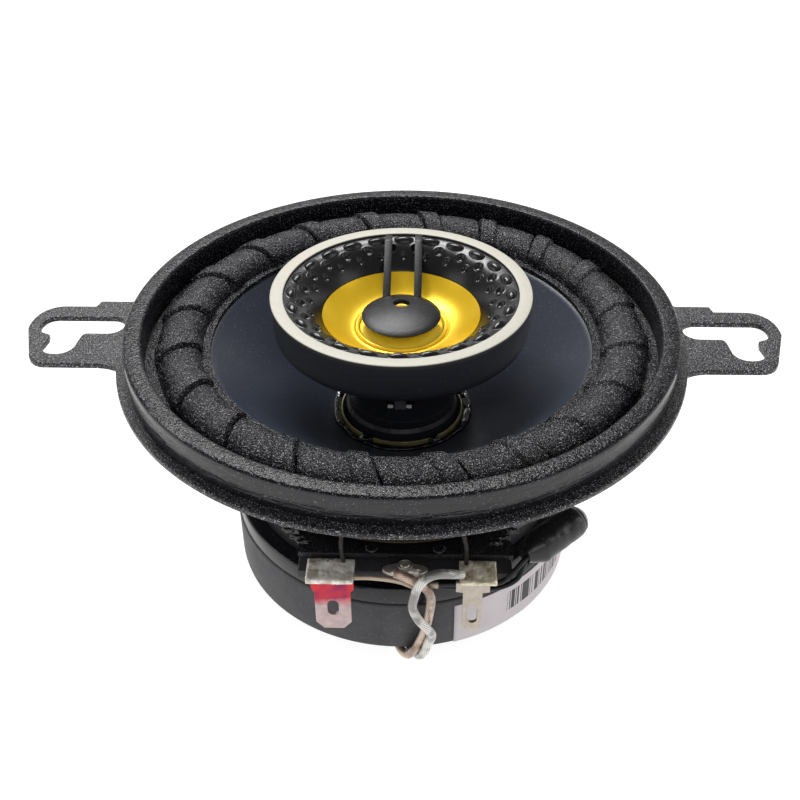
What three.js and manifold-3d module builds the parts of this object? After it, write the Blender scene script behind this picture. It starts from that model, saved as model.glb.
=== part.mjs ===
// A 3.5 inch two-way coaxial car speaker, in millimetres, +Z towards the listener.
// Origin: centre of the back plate's resting face. +X runs from tab to tab, -Y is the terminal side.

import * as THREE from "three";
import { mergeVertices } from "three/addons/utils/BufferGeometryUtils.js";
import Module from "manifold-3d";

// ---------------------------------------------------------------- driving dimensions

// Motor
const BACK_PLATE_R = 25.6;
const BACK_PLATE_T = 3.0;
const POLE_R = 9.2;
const POLE_TOP = 16.6;
const POLE_BORE_R = 3.2;
const STUD_RECESS_R = 4.9;
const STUD_RECESS_DEPTH = 3.3;
const LEAD_GROOVE_W = 5.0;
const LEAD_GROOVE_DEPTH = 2.2;
const MAGNET_R = 28.6;
const MAGNET_BORE_R = 14.5;
const MAGNET_T = 9.8;
const TOP_PLATE_R = 28.4;
const TOP_PLATE_BORE_R = 11.1;
const TOP_PLATE_T = 3.4;
const REST = 0.05; // clearance kept between pieces that rest on each other

// Basket
const SHEET = 0.8;
const PAN_R = 26.2;
const PAN_HOLE_R = 13.0;
const SHELF_TOP = 24.2;
const SHELF_R = 28.8;
const WALL_TOP_R = 37.0;
const FLANGE_R = 44.6;
const FLANGE_T = 0.95;
const FLANGE_TOP = 43.55;
const WINDOW_TOP = 40.4;
const FRONT_WINDOW_X = 1.2;
const FRONT_WINDOW_W = 32.2;
const SIDE_WINDOW_W = 29.0;
const FRONT_TAB_Y = -28.6;

// Mounting tabs
const TAB_REACH = 60.6;
const TAB_BACK = 8.8;
const TAB_FRONT = -7.8;
const TAB_STEP_BACK = 10.4;
const TAB_STEP_X = 50.6;
const SLOT_LOW = 0.75;
const SLOT_HIGH = 5.45;
const SLOT_ROOT_X = 47.4;
const SLOT_TIP_X = 58.6;
const LOBE_X = [51.6, 56.7];
const LOBE_END_Y = -5.1;

// Gasket, surround, cone and voice coil
const GASKET_R = 43.0;
const GASKET_INNER_R = 40.1;
const GASKET_H = 4.7;
const ROLL_MID_R = 34.75;
const ROLL_R = 3.45;
const ROLL_T = 0.6;
const ROLL_Z = 43.1;
const SURROUND_LIP_R = 39.8;
const CONE_RIM_R = 31.0;
const CONE_RIM_Z = 43.5;
const CONE_NECK_R = 10.2;
const CONE_NECK_Z = 29.0;
const CONE_T = 0.5;
const FORMER_R = 10.05;
const FORMER_INNER_R = 9.8;
const FORMER_Z = [11.0, 30.4];
const WINDING_R = 10.6;
const WINDING_Z = [11.2, 18.2];
const SPIDER_R = 26.6;
const SPIDER_Z = 25.1;
const SPIDER_WAVE = 0.55;
const SPIDER_WAVES = 4;
const SPIDER_T = 0.5;

// Terminal board
const BOARD_X = 1.2;
const BOARD_W = 32.0;
const BOARD_T = 1.5;
const BOARD_TOP = 22.3;
const BOARD_FRONT_Y = -30.5;
const BOARD_REAR_R = 26.7;
const POSITIVE_X = -9.85;
const NEGATIVE_X = 12.0;
const TERMINAL_T = 0.6;
const TERMINAL_Y = -33.2;
const TERMINAL_REAR_Y = -28.6;
const TERMINAL_TIP_Z = 12.8;
const TERMINAL_RIVET_Y = -29.6;
const BOARD_RIVET_X = 5.05;
const BOARD_RIVET_Y = -27.5;
const LUG_RIVET_Y = -29.75;
const LUG_X = 1.2;
const LUG_Y = -30.4;
const RIVET_R = 0.55;
const RIVET_HOLE_R = 0.65;

// Tweeter pod
const POD_R = 20.1;
const POD_INNER_R = 18.9;
const POD_RIM_Z = 51.85;
const POD_WALL_Z = 46.4;
const TUBE_R = 8.6;
const TUBE_BORE_R = 7.7;
const TUBE_BOTTOM_Z = 32.0;
const TRIM_R = 20.25;
const TRIM_INNER_R = 18.2;
const TRIM_TOP_Z = 52.5;
const HORN_MOUTH_R = 12.35;
const HORN_MOUTH_Z = 48.6;
const HORN_THROAT_R = 7.3;
const HORN_THROAT_Z = 45.9;
const DISC_R = 6.25;
const DISC_EDGE_Z = 48.0;
const DISC_TOP_Z = 48.9;
const DISC_HOLE_R = 1.15;
const DISC_HOLE_Y = 2.4;
const BAR_X = 2.5;
const BAR_W = 1.25;
const FLARE_LIP_Z = 52.1;
const DOME_R = 6.55;
const DOME_EDGE_Z = 46.0;
const DOME_TOP_Z = 47.75;
const TWEETER_FORMER_R = 5.35;
const CLIP_Z = 36.9;

// Wiring
const LEAD_R = 0.7;
const TINSEL_R = 0.35;
const CAPACITOR_WIRE_R = 0.4;
const CAPACITOR_R = 2.2;
const SLEEVE_R = 2.55;
const LABEL_T = 0.15;

// Levels that follow from the sizes above
const MAGNET_Z = BACK_PLATE_T + REST;
const TOP_PLATE_Z = MAGNET_Z + MAGNET_T;
const BASKET_Z = TOP_PLATE_Z + TOP_PLATE_T;
const FLANGE_BOTTOM = FLANGE_TOP - FLANGE_T;
const GASKET_Z = FLANGE_TOP + REST;
const POST_Z = POLE_TOP + REST;

// Facets round a full turn
const COARSE = 24;
const MEDIUM = 36;
const FINE = 48;

// ---------------------------------------------------------------- colours and finishes

function finish(color, roughness, metalness) {
  return new THREE.MeshStandardMaterial({ color, roughness, metalness });
}

const FINISH = {
  powderCoat: finish(0x1b1b1d, 0.75, 0.2),
  rubber: finish(0x141518, 0.5, 0.0),
  foam: finish(0x1d1d20, 0.9, 0.0),
  polyCone: finish(0x14171f, 0.45, 0.0),
  former: finish(0x8a7c52, 0.5, 0.1),
  copper: finish(0xb0683a, 0.35, 1.0),
  spiderCloth: finish(0xb58a3c, 0.95, 0.0),
  darkSteel: finish(0x0d1018, 0.35, 0.6),
  ferrite: finish(0x3a393c, 0.7, 0.1),
  zinc: finish(0xa9abad, 0.4, 0.9),
  fibreBoard: finish(0x35343a, 0.8, 0.0),
  tin: finish(0xc9bfae, 0.4, 0.8),
  redTin: finish(0xc9505a, 0.45, 0.6),
  blackPlastic: finish(0x101114, 0.45, 0.0),
  cream: finish(0xdcd8c8, 0.6, 0.0),
  gold: finish(0xe0aa1e, 0.3, 0.9),
  nickel: finish(0xb9bcc0, 0.3, 1.0),
  shrink: finish(0x16171a, 0.55, 0.0),
  clearOverCopper: finish(0xb98a5e, 0.35, 0.2),
  clearOverSilver: finish(0xb8b4a8, 0.35, 0.2),
  paper: finish(0xcfc6c2, 0.7, 0.0),
};

// ---------------------------------------------------------------- solids

const wasm = await Module();
wasm.setup();

// A closed geometry as a solid that can be joined and cut.
function solid(geometry) {
  const bare = geometry.clone();
  bare.deleteAttribute("normal");
  bare.deleteAttribute("uv");
  const merged = mergeVertices(bare, 1e-4);
  const corners = merged.index.array;
  const kept = [];
  for (let i = 0; i < corners.length; i += 3) {
    const [a, b, c] = [corners[i], corners[i + 1], corners[i + 2]];
    if (a !== b && b !== c && c !== a) kept.push(a, b, c);
  }
  const vertProperties = new Float32Array(merged.attributes.position.array);
  return new wasm.Manifold(
    new wasm.Mesh({ numProp: 3, vertProperties, triVerts: new Uint32Array(kept) }),
  );
}

// A solid back as a geometry with flat shading.
function toGeometry(body) {
  const mesh = body.getMesh();
  const geometry = new THREE.BufferGeometry();
  geometry.setAttribute("position", new THREE.BufferAttribute(mesh.vertProperties, 3));
  geometry.setIndex(new THREE.BufferAttribute(mesh.triVerts, 1));
  const flat = geometry.toNonIndexed();
  flat.computeVertexNormals();
  return flat;
}

// A ring or disc turned about Z from [radius, height] pairs that run anticlockwise.
function turned(profile, segments) {
  const points = profile.map(([r, z]) => new THREE.Vector2(r, z));
  const onAxis = profile[0][0] === 0 && profile[profile.length - 1][0] === 0;
  if (!onAxis) points.push(points[0].clone());
  const geometry = new THREE.LatheGeometry(points, segments);
  geometry.rotateX(Math.PI / 2);
  return geometry;
}

// A plain ring of rectangular section.
function ring(innerR, outerR, bottom, top, segments) {
  return turned([[innerR, bottom], [outerR, bottom], [outerR, top], [innerR, top]], segments);
}

// A disc or rod about Z, moved to a centre.
function rod(radius, bottom, top, segments, x = 0, y = 0) {
  const geometry = new THREE.CylinderGeometry(radius, radius, top - bottom, segments);
  geometry.rotateX(Math.PI / 2);
  geometry.translate(x, y, (bottom + top) / 2);
  return geometry;
}

// A block between two corners.
function block([x0, y0, z0], [x1, y1, z1]) {
  const geometry = new THREE.BoxGeometry(x1 - x0, y1 - y0, z1 - z0);
  geometry.translate((x0 + x1) / 2, (y0 + y1) / 2, (z0 + z1) / 2);
  return geometry;
}

// A flat plate: an outline in X and Y, from one height to another.
function plate(shape, bottom, top, curveSegments = 6) {
  const geometry = new THREE.ExtrudeGeometry(shape, {
    depth: top - bottom,
    bevelEnabled: false,
    curveSegments,
  });
  geometry.translate(0, 0, bottom);
  return geometry;
}

// A round wire along a smooth curve through its points.
function wire(points, radius, steps) {
  const sides = 8;
  const section = [];
  for (let i = 0; i < sides; i += 1) {
    const turn = (2 * Math.PI * i) / sides;
    section.push(new THREE.Vector2(radius * Math.cos(turn), radius * Math.sin(turn)));
  }
  const path = new THREE.CatmullRomCurve3(points.map((p) => new THREE.Vector3(...p)));
  return new THREE.ExtrudeGeometry(new THREE.Shape(section), {
    extrudePath: path,
    steps,
    bevelEnabled: false,
  });
}

// ---------------------------------------------------------------- the assembly

const speaker = new THREE.Group();
speaker.name = "coaxial_car_speaker";

function add(name, geometry, material) {
  const mesh = new THREE.Mesh(geometry, material);
  mesh.name = name;
  speaker.add(mesh);
}

// ---------------------------------------------------------------- motor

// Back plate and pole in one, with the stud's recess and the groove that the leads lie in.
function tYoke() {
  const body = solid(
    turned(
      [
        [POLE_BORE_R, 0],
        [BACK_PLATE_R, 0],
        [BACK_PLATE_R, BACK_PLATE_T],
        [POLE_R, BACK_PLATE_T],
        [POLE_R, POLE_TOP],
        [POLE_BORE_R, POLE_TOP],
      ],
      FINE,
    ),
  );
  const recess = solid(rod(STUD_RECESS_R, -1, STUD_RECESS_DEPTH, COARSE));
  const half = LEAD_GROOVE_W / 2;
  const groove = solid(block([-half, -BACK_PLATE_R - 1, -1], [half, 0, LEAD_GROOVE_DEPTH]));
  return toGeometry(body.subtract(recess).subtract(groove));
}

add("t_yoke", tYoke(), FINISH.darkSteel);
add("magnet_ring", ring(MAGNET_BORE_R, MAGNET_R, MAGNET_Z, TOP_PLATE_Z - REST, FINE), FINISH.ferrite);
add("top_plate", ring(TOP_PLATE_BORE_R, TOP_PLATE_R, TOP_PLATE_Z, BASKET_Z - REST, FINE), FINISH.darkSteel);

// A blank paper sticker wrapped round the right of the magnet.
function label() {
  const inner = MAGNET_R + REST;
  const shape = new THREE.Shape();
  const from = THREE.MathUtils.degToRad(-72);
  const to = THREE.MathUtils.degToRad(18);
  shape.absarc(0, 0, inner + LABEL_T, from, to, false);
  shape.absarc(0, 0, inner, to, from, true);
  shape.closePath();
  return plate(shape, MAGNET_Z + 0.15, MAGNET_Z + 8.6, 9);
}

add("label", label(), FINISH.paper);

// The hollow stud clamps the tweeter post to the pole, and the tweeter's leads pass up inside it.
function hollowStud() {
  const bore = 2.25;
  const shank = POLE_BORE_R - 0.15;
  const headBottom = STUD_RECESS_DEPTH - 1.0;
  return turned(
    [
      [bore, headBottom],
      [STUD_RECESS_R - 0.3, headBottom],
      [STUD_RECESS_R - 0.3, STUD_RECESS_DEPTH - REST],
      [shank, STUD_RECESS_DEPTH - REST],
      [shank, 24.6],
      [bore, 24.6],
    ],
    COARSE,
  );
}

function studNut() {
  const body = solid(rod(4.6, 22.2, 24.2, 6));
  return toGeometry(body.subtract(solid(rod(POLE_BORE_R, 22, 25, COARSE))));
}

add("hollow_stud", hollowStud(), FINISH.zinc);
add("stud_nut", studNut(), FINISH.zinc);

// ---------------------------------------------------------------- basket

// The outline of the right mounting tab; the left one is its mirror image.
function tabShape() {
  const root = GASKET_R - 4;
  const shape = new THREE.Shape();
  shape.moveTo(root, TAB_FRONT - 3.4);
  shape.quadraticCurveTo(43.4, TAB_FRONT - 0.2, 46.9, TAB_FRONT);
  shape.lineTo(55.0, TAB_FRONT);
  shape.quadraticCurveTo(57.8, TAB_FRONT, 58.5, TAB_FRONT + 3.2);
  shape.lineTo(TAB_REACH - 0.1, 1.4);
  shape.quadraticCurveTo(TAB_REACH + 0.3, 4.6, 59.6, 6.8);
  shape.quadraticCurveTo(58.2, TAB_BACK, 55.8, TAB_BACK);
  shape.lineTo(TAB_STEP_X + 0.5, TAB_BACK);
  shape.lineTo(TAB_STEP_X, TAB_STEP_BACK);
  shape.lineTo(45.6, TAB_STEP_BACK);
  shape.quadraticCurveTo(43.8, TAB_STEP_BACK, root, TAB_STEP_BACK + 3.0);
  return shape;
}

// The slot for a fixing screw, with a lobe to one side and a small spur between the two.
function keySlot() {
  const radius = (SLOT_HIGH - SLOT_LOW) / 2;
  const [near, far] = LOBE_X;
  const shape = new THREE.Shape();
  shape.moveTo(SLOT_ROOT_X, SLOT_LOW);
  shape.lineTo(near - 0.9, SLOT_LOW);
  shape.quadraticCurveTo(near - 0.3, SLOT_LOW - 0.2, near - 0.2, SLOT_LOW - 1.1);
  shape.lineTo(near + 0.1, LOBE_END_Y + 2.0);
  shape.quadraticCurveTo(near + 0.7, LOBE_END_Y, near + 2.8, LOBE_END_Y);
  shape.quadraticCurveTo(far, LOBE_END_Y + 0.2, far, LOBE_END_Y + 2.1);
  shape.lineTo(far - 0.4, SLOT_LOW - 1.7);
  shape.lineTo(far - 0.2, SLOT_LOW - 0.45);
  shape.lineTo(SLOT_TIP_X - 0.9, SLOT_LOW + 0.1);
  shape.quadraticCurveTo(SLOT_TIP_X, SLOT_LOW + 0.8, SLOT_TIP_X, SLOT_LOW + 2.0);
  shape.quadraticCurveTo(SLOT_TIP_X - 0.1, SLOT_HIGH, SLOT_TIP_X - 2.4, SLOT_HIGH);
  shape.lineTo(SLOT_ROOT_X, SLOT_HIGH);
  shape.absarc(SLOT_ROOT_X, SLOT_LOW + radius, radius, Math.PI / 2, (3 * Math.PI) / 2, false);
  return solid(plate(shape, FLANGE_BOTTOM - 1, FLANGE_TOP + 1));
}

function mirrored(body) {
  return body.mirror([1, 0, 0]);
}

// The stamped bowl: floor, pan wall, spider shelf, sloping wall and flange in one sheet.
function stampedBowl() {
  const wallFoot = SHELF_TOP - SHEET;
  return solid(
    turned(
      [
        [PAN_HOLE_R, BASKET_Z],
        [PAN_R, BASKET_Z],
        [PAN_R, wallFoot],
        [SHELF_R, wallFoot],
        [WALL_TOP_R, WINDOW_TOP + 1.0],
        [WALL_TOP_R + 0.6, FLANGE_BOTTOM],
        [FLANGE_R, FLANGE_BOTTOM],
        [FLANGE_R, FLANGE_TOP],
        [WALL_TOP_R, FLANGE_TOP],
        [WALL_TOP_R - 0.9, WINDOW_TOP + 1.0],
        [SHELF_R - 0.5, SHELF_TOP],
        [PAN_R - SHEET, SHELF_TOP],
        [PAN_R - SHEET, BASKET_Z + SHEET],
        [PAN_HOLE_R, BASKET_Z + SHEET],
      ],
      FINE,
    ),
  );
}

function windowCutters() {
  const bottom = SHELF_TOP;
  const left = FRONT_WINDOW_X - FRONT_WINDOW_W / 2;
  const right = FRONT_WINDOW_X + FRONT_WINDOW_W / 2;
  const side = SIDE_WINDOW_W / 2;
  const near = SHELF_R - 8;
  const far = FLANGE_R + 2;
  const cutters = [block([left, -far, bottom], [right, -near, WINDOW_TOP])];
  cutters.push(block([-side, near, bottom], [side, far, WINDOW_TOP]));
  cutters.push(block([near, -side, bottom], [far, side, WINDOW_TOP]));
  cutters.push(block([-far, -side, bottom], [-near, side, WINDOW_TOP]));
  return cutters;
}

// The shelf runs forward to a straight edge over the terminal board.
function shelfTab() {
  const left = FRONT_WINDOW_X - FRONT_WINDOW_W / 2;
  const right = FRONT_WINDOW_X + FRONT_WINDOW_W / 2;
  return solid(block([left, FRONT_TAB_Y, SHELF_TOP - SHEET], [right, -22.5, SHELF_TOP]));
}

function frontTrim() {
  const left = FRONT_WINDOW_X - FRONT_WINDOW_W / 2;
  const right = FRONT_WINDOW_X + FRONT_WINDOW_W / 2;
  return solid(block([left, FRONT_TAB_Y - 3, SHELF_TOP - 1.3], [right, FRONT_TAB_Y, SHELF_TOP + 0.6]));
}

function basket() {
  let body = stampedBowl();
  for (const cutter of windowCutters()) body = body.subtract(solid(cutter));
  const panHollow = solid(rod(PAN_R - SHEET, BASKET_Z, SHELF_TOP + 5, FINE));
  body = body.add(shelfTab().subtract(panHollow));
  body = body.subtract(frontTrim());
  for (const x of [BOARD_X - BOARD_RIVET_X, BOARD_X + BOARD_RIVET_X]) {
    const hole = rod(RIVET_HOLE_R, SHELF_TOP - 2, SHELF_TOP + 1, 12, x, BOARD_RIVET_Y);
    body = body.subtract(solid(hole));
  }
  const bowlHollow = solid(rod(WALL_TOP_R + 0.3, FLANGE_BOTTOM - 2, FLANGE_TOP + 2, FINE));
  const tab = solid(plate(tabShape(), FLANGE_BOTTOM, FLANGE_TOP)).subtract(keySlot());
  const trimmed = tab.subtract(bowlHollow);
  return toGeometry(body.add(trimmed).add(mirrored(trimmed)));
}

add("basket", basket(), FINISH.powderCoat);

add(
  "gasket_ring",
  turned(
    [
      [GASKET_INNER_R, GASKET_Z],
      [GASKET_R, GASKET_Z],
      [GASKET_R, GASKET_Z + GASKET_H - 0.3],
      [GASKET_R - 0.3, GASKET_Z + GASKET_H],
      [GASKET_INNER_R, GASKET_Z + GASKET_H],
    ],
    FINE,
  ),
  FINISH.rubber,
);

// ---------------------------------------------------------------- cone assembly

// A half roll of foam between two flat lips.
function surround() {
  const steps = 6;
  const outer = [];
  const inner = [];
  for (let i = 0; i <= steps; i += 1) {
    const turn = (Math.PI * i) / steps;
    const c = Math.cos(turn);
    const s = Math.sin(turn);
    outer.push([ROLL_MID_R + ROLL_R * c, ROLL_Z + ROLL_R * s + ROLL_T]);
    inner.push([ROLL_MID_R + (ROLL_R - ROLL_T) * c, ROLL_Z + (ROLL_R - ROLL_T) * s]);
  }
  const lipZ = FLANGE_TOP + REST;
  return turned(
    [
      [CONE_RIM_R - 1.0, lipZ],
      [CONE_RIM_R + 0.5, lipZ],
      ...inner.slice(1, -1).reverse(),
      [ROLL_MID_R + ROLL_R - 0.2, lipZ],
      [SURROUND_LIP_R, lipZ],
      [SURROUND_LIP_R, lipZ + ROLL_T],
      ...outer.slice(1, -1),
      [CONE_RIM_R, lipZ + ROLL_T],
      [CONE_RIM_R - 1.0, lipZ + ROLL_T],
    ],
    FINE,
  );
}

// Height of the cone's listening face at a radius: a slightly flared straight cone.
function coneHeight(r) {
  const share = (r - CONE_NECK_R) / (CONE_RIM_R - 1.2 - CONE_NECK_R);
  return CONE_NECK_Z + (CONE_RIM_Z - CONE_NECK_Z) * share ** 1.05;
}

function cone() {
  const face = [];
  const back = [];
  const steps = 5;
  for (let i = 0; i <= steps; i += 1) {
    const r = CONE_NECK_R + ((CONE_RIM_R - 1.2 - CONE_NECK_R) * i) / steps;
    face.push([r, coneHeight(r)]);
    back.push([r + (i === 0 ? 0 : 0.25), coneHeight(r) - CONE_T]);
  }
  return turned(
    [
      ...back,
      [CONE_RIM_R, CONE_RIM_Z - CONE_T],
      [CONE_RIM_R, CONE_RIM_Z],
      ...face.reverse(),
    ],
    FINE,
  );
}

// The corrugated cloth disc that centres the coil.
function spider() {
  const inner = FORMER_R + 0.15;
  const steps = SPIDER_WAVES * 2;
  const face = [];
  const back = [];
  for (let i = 0; i <= steps; i += 1) {
    const r = inner + ((SPIDER_R - 1.6 - inner) * i) / steps;
    const z = SPIDER_Z + (i % 2 === 0 ? 0 : SPIDER_WAVE);
    face.push([r, z + SPIDER_T]);
    back.push([r, z]);
  }
  const foot = SHELF_TOP + REST;
  return turned(
    [
      ...back,
      [SPIDER_R - 1.5, foot],
      [SPIDER_R, foot],
      [SPIDER_R, foot + SPIDER_T],
      [SPIDER_R - 1.2, foot + SPIDER_T],
      ...face.reverse(),
    ],
    MEDIUM,
  );
}

add("surround", surround(), FINISH.foam);
add("cone", cone(), FINISH.polyCone);
add("voice_coil_former", ring(FORMER_INNER_R, FORMER_R, ...FORMER_Z, MEDIUM), FINISH.former);
add("voice_coil_winding", ring(FORMER_R + REST, WINDING_R, ...WINDING_Z, MEDIUM), FINISH.copper);
add("spider", spider(), FINISH.spiderCloth);

// ---------------------------------------------------------------- terminal board

function terminalBoard() {
  const left = BOARD_X - BOARD_W / 2;
  const right = BOARD_X + BOARD_W / 2;
  const shape = new THREE.Shape();
  shape.moveTo(left, BOARD_FRONT_Y);
  shape.lineTo(right, BOARD_FRONT_Y);
  const start = -Math.PI / 2 + Math.asin(right / BOARD_REAR_R);
  const end = -Math.PI / 2 + Math.asin(left / BOARD_REAR_R);
  shape.absarc(0, 0, BOARD_REAR_R, start, end, true);
  shape.closePath();
  let body = solid(plate(shape, BOARD_TOP - BOARD_T, BOARD_TOP));
  const holes = [
    [POSITIVE_X, TERMINAL_RIVET_Y],
    [NEGATIVE_X, TERMINAL_RIVET_Y],
    [BOARD_X - BOARD_RIVET_X, BOARD_RIVET_Y],
    [BOARD_X + BOARD_RIVET_X, BOARD_RIVET_Y],
    [LUG_X, LUG_RIVET_Y],
  ];
  for (const [x, y] of holes) {
    body = body.subtract(solid(rod(RIVET_HOLE_R, BOARD_TOP - 3, BOARD_TOP + 1, 12, x, y)));
  }
  return toGeometry(body);
}

add("terminal_board", terminalBoard(), FINISH.fibreBoard);

// A blade outline in X and height, stood up on the front face of the terminal.
function standing(shape) {
  const geometry = plate(shape, 0, TERMINAL_T);
  geometry.rotateX(Math.PI / 2);
  geometry.translate(0, TERMINAL_Y + TERMINAL_T, 0);
  return solid(geometry);
}

function foot(x, width) {
  const low = BOARD_TOP + REST;
  const slab = block([x - width / 2, TERMINAL_Y, low], [x + width / 2, TERMINAL_REAR_Y, low + TERMINAL_T]);
  const hole = rod(RIVET_HOLE_R, low - 1, low + 2, 12, x, TERMINAL_RIVET_Y);
  return solid(slab).subtract(solid(hole));
}

// The wide blade has chamfered corners and a round-ended hole.
function positiveTerminal() {
  const x = POSITIVE_X + 0.35;
  const half = 2.7;
  const shoulder = 3.2;
  const top = BOARD_TOP + REST + TERMINAL_T;
  const outline = new THREE.Shape();
  outline.moveTo(x - half + 1.2, TERMINAL_TIP_Z);
  outline.lineTo(x + half - 1.2, TERMINAL_TIP_Z);
  outline.lineTo(x + half, TERMINAL_TIP_Z + 1.4);
  outline.lineTo(x + half, 20.6);
  outline.lineTo(x + shoulder, 21.2);
  outline.lineTo(x + shoulder, top);
  outline.lineTo(x - shoulder, top);
  outline.lineTo(x - shoulder, 21.8);
  outline.lineTo(x - half, 20.4);
  outline.lineTo(x - half, TERMINAL_TIP_Z + 1.4);
  outline.closePath();
  const hole = slotStanding(x, 16.6, 18.0, 0.85);
  return toGeometry(standing(outline).subtract(hole).add(foot(POSITIVE_X, 7.1)));
}

// A round-ended hole through a standing blade.
function slotStanding(x, low, high, radius) {
  const shape = new THREE.Shape();
  shape.absarc(x, high, radius, 0, Math.PI, false);
  shape.absarc(x, low, radius, Math.PI, 2 * Math.PI, false);
  shape.closePath();
  const geometry = plate(shape, -1, TERMINAL_T + 1);
  geometry.rotateX(Math.PI / 2);
  geometry.translate(0, TERMINAL_Y + TERMINAL_T, 0);
  return solid(geometry);
}

// The narrow blade has square shoulders and a round tip.
function negativeTerminal() {
  const x = NEGATIVE_X - 0.75;
  const half = 1.45;
  const shoulder = 2.5;
  const top = BOARD_TOP + REST + TERMINAL_T;
  const outline = new THREE.Shape();
  outline.absarc(x, TERMINAL_TIP_Z + half, half, Math.PI, 2 * Math.PI, false);
  outline.lineTo(x + half, 21.0);
  outline.lineTo(x + shoulder, 21.0);
  outline.lineTo(x + shoulder, top);
  outline.lineTo(x - shoulder, top);
  outline.lineTo(x - shoulder, 21.0);
  outline.lineTo(x - half, 21.0);
  outline.closePath();
  const hole = slotStanding(x, 15.2, 17.4, 0.72);
  return toGeometry(standing(outline).subtract(hole).add(foot(NEGATIVE_X, 5.5)));
}

// The oval solder lug between the terminals.
function solderLug() {
  const low = BOARD_TOP + REST;
  const lug = new THREE.CylinderGeometry(1, 1, TERMINAL_T, COARSE);
  lug.rotateX(Math.PI / 2);
  lug.scale(3.4, 1.25, 1);
  lug.translate(LUG_X, LUG_Y, low + TERMINAL_T / 2);
  const hole = rod(RIVET_HOLE_R, low - 1, low + 2, 12, LUG_X, LUG_RIVET_Y);
  return toGeometry(solid(lug).subtract(solid(hole)));
}

add("positive_terminal", positiveTerminal(), FINISH.redTin);
add("negative_terminal", negativeTerminal(), FINISH.tin);
add("solder_lug", solderLug(), FINISH.tin);

// A rivet from under the board to the top of what it holds.
function rivet(x, y, headR, top) {
  const low = BOARD_TOP - BOARD_T - REST;
  const geometry = turned(
    [
      [0, low - 0.6],
      [headR, low - 0.6],
      [headR, low],
      [RIVET_R, low],
      [RIVET_R, top + REST],
      [headR, top + REST],
      [headR, top + 0.45],
      [0, top + 0.6],
    ],
    16,
  );
  geometry.translate(x, y, 0);
  return geometry;
}

const TERMINAL_TOP = BOARD_TOP + REST + TERMINAL_T;
add("rivet_positive", rivet(POSITIVE_X, TERMINAL_RIVET_Y, 0.85, TERMINAL_TOP), FINISH.tin);
add("rivet_negative", rivet(NEGATIVE_X, TERMINAL_RIVET_Y, 0.85, TERMINAL_TOP), FINISH.tin);
add("rivet_lug", rivet(LUG_X, LUG_RIVET_Y, 0.8, TERMINAL_TOP), FINISH.tin);
add("rivet_board_left", rivet(BOARD_X - BOARD_RIVET_X, BOARD_RIVET_Y, 1.0, SHELF_TOP), FINISH.darkSteel);
add("rivet_board_right", rivet(BOARD_X + BOARD_RIVET_X, BOARD_RIVET_Y, 1.0, SHELF_TOP), FINISH.darkSteel);

// ---------------------------------------------------------------- capacitor

// Both pieces lie along one slanted line beside the basket.
const CAPACITOR_FROM = new THREE.Vector3(18.9, -29.3, 24.8);
const CAPACITOR_TO = new THREE.Vector3(28.0, -21.5, 26.0);

function alongCapacitor(geometry) {
  const way = CAPACITOR_TO.clone().sub(CAPACITOR_FROM).normalize();
  const turn = new THREE.Quaternion().setFromUnitVectors(new THREE.Vector3(0, 0, 1), way);
  geometry.applyQuaternion(turn);
  geometry.translate(...CAPACITOR_FROM.toArray());
  return geometry;
}

const CAPACITOR_LENGTH = CAPACITOR_TO.distanceTo(CAPACITOR_FROM);

function capacitorCan() {
  const end = CAPACITOR_LENGTH - 0.4;
  const profile = [
    [0, 2.6],
    [CAPACITOR_R, 2.6],
    [CAPACITOR_R, end - 0.6],
    [CAPACITOR_R - 0.5, end],
    [0, end],
  ];
  return alongCapacitor(turned(profile, COARSE));
}

// The sleeve is shrunk down at the wire end and open where the wires come out.
function shrinkSleeve() {
  const end = CAPACITOR_LENGTH;
  const profile = [
    [1.35, 0],
    [1.65, 0],
    [SLEEVE_R, 2.2],
    [SLEEVE_R, end - 0.6],
    [SLEEVE_R - 0.7, end],
    [1.5, end],
    [1.5, end - 0.25],
    [CAPACITOR_R - 0.3, end - 0.3],
    [CAPACITOR_R + 0.1, end - 0.9],
    [CAPACITOR_R + 0.1, 2.3],
  ];
  return alongCapacitor(turned(profile, COARSE));
}

add("capacitor", capacitorCan(), FINISH.blackPlastic);
add("capacitor_sleeve", shrinkSleeve(), FINISH.shrink);

// Two wires run under the board, from the capacitor to the lug and to the positive terminal.
const CAPACITOR_WIRE_TO_LUG = [
  [20.4, -27.6, 24.5],
  [18.9, -29.6, 23.6],
  [17.9, -30.9, 21.8],
  [15.5, -31.2, 20.2],
  [12.5, -31.0, 19.6],
  [9.0, -30.7, 19.5],
  [5.8, -30.6, 19.6],
  [3.8, -30.9, 20.6],
  [3.0, -31.0, 21.85],
];
const CAPACITOR_WIRE_TO_POSITIVE = [
  [20.7, -28.2, 25.3],
  [18.8, -30.2, 25.0],
  [17.2, -31.3, 23.6],
  [15.4, -31.8, 21.9],
  [12.0, -31.7, 21.3],
  [8.0, -31.7, 21.2],
  [4.5, -31.6, 20.8],
  [2.6, -31.7, 20.6],
  [0.3, -31.4, 21.3],
  [-3.9, -31.3, 21.9],
  [-6.9, -31.3, 21.85],
];
add("capacitor_wire_lug", wire(CAPACITOR_WIRE_TO_LUG, CAPACITOR_WIRE_R, 18), FINISH.tin);
add("capacitor_wire_positive", wire(CAPACITOR_WIRE_TO_POSITIVE, CAPACITOR_WIRE_R, 24), FINISH.tin);

// ---------------------------------------------------------------- tweeter leads

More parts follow.
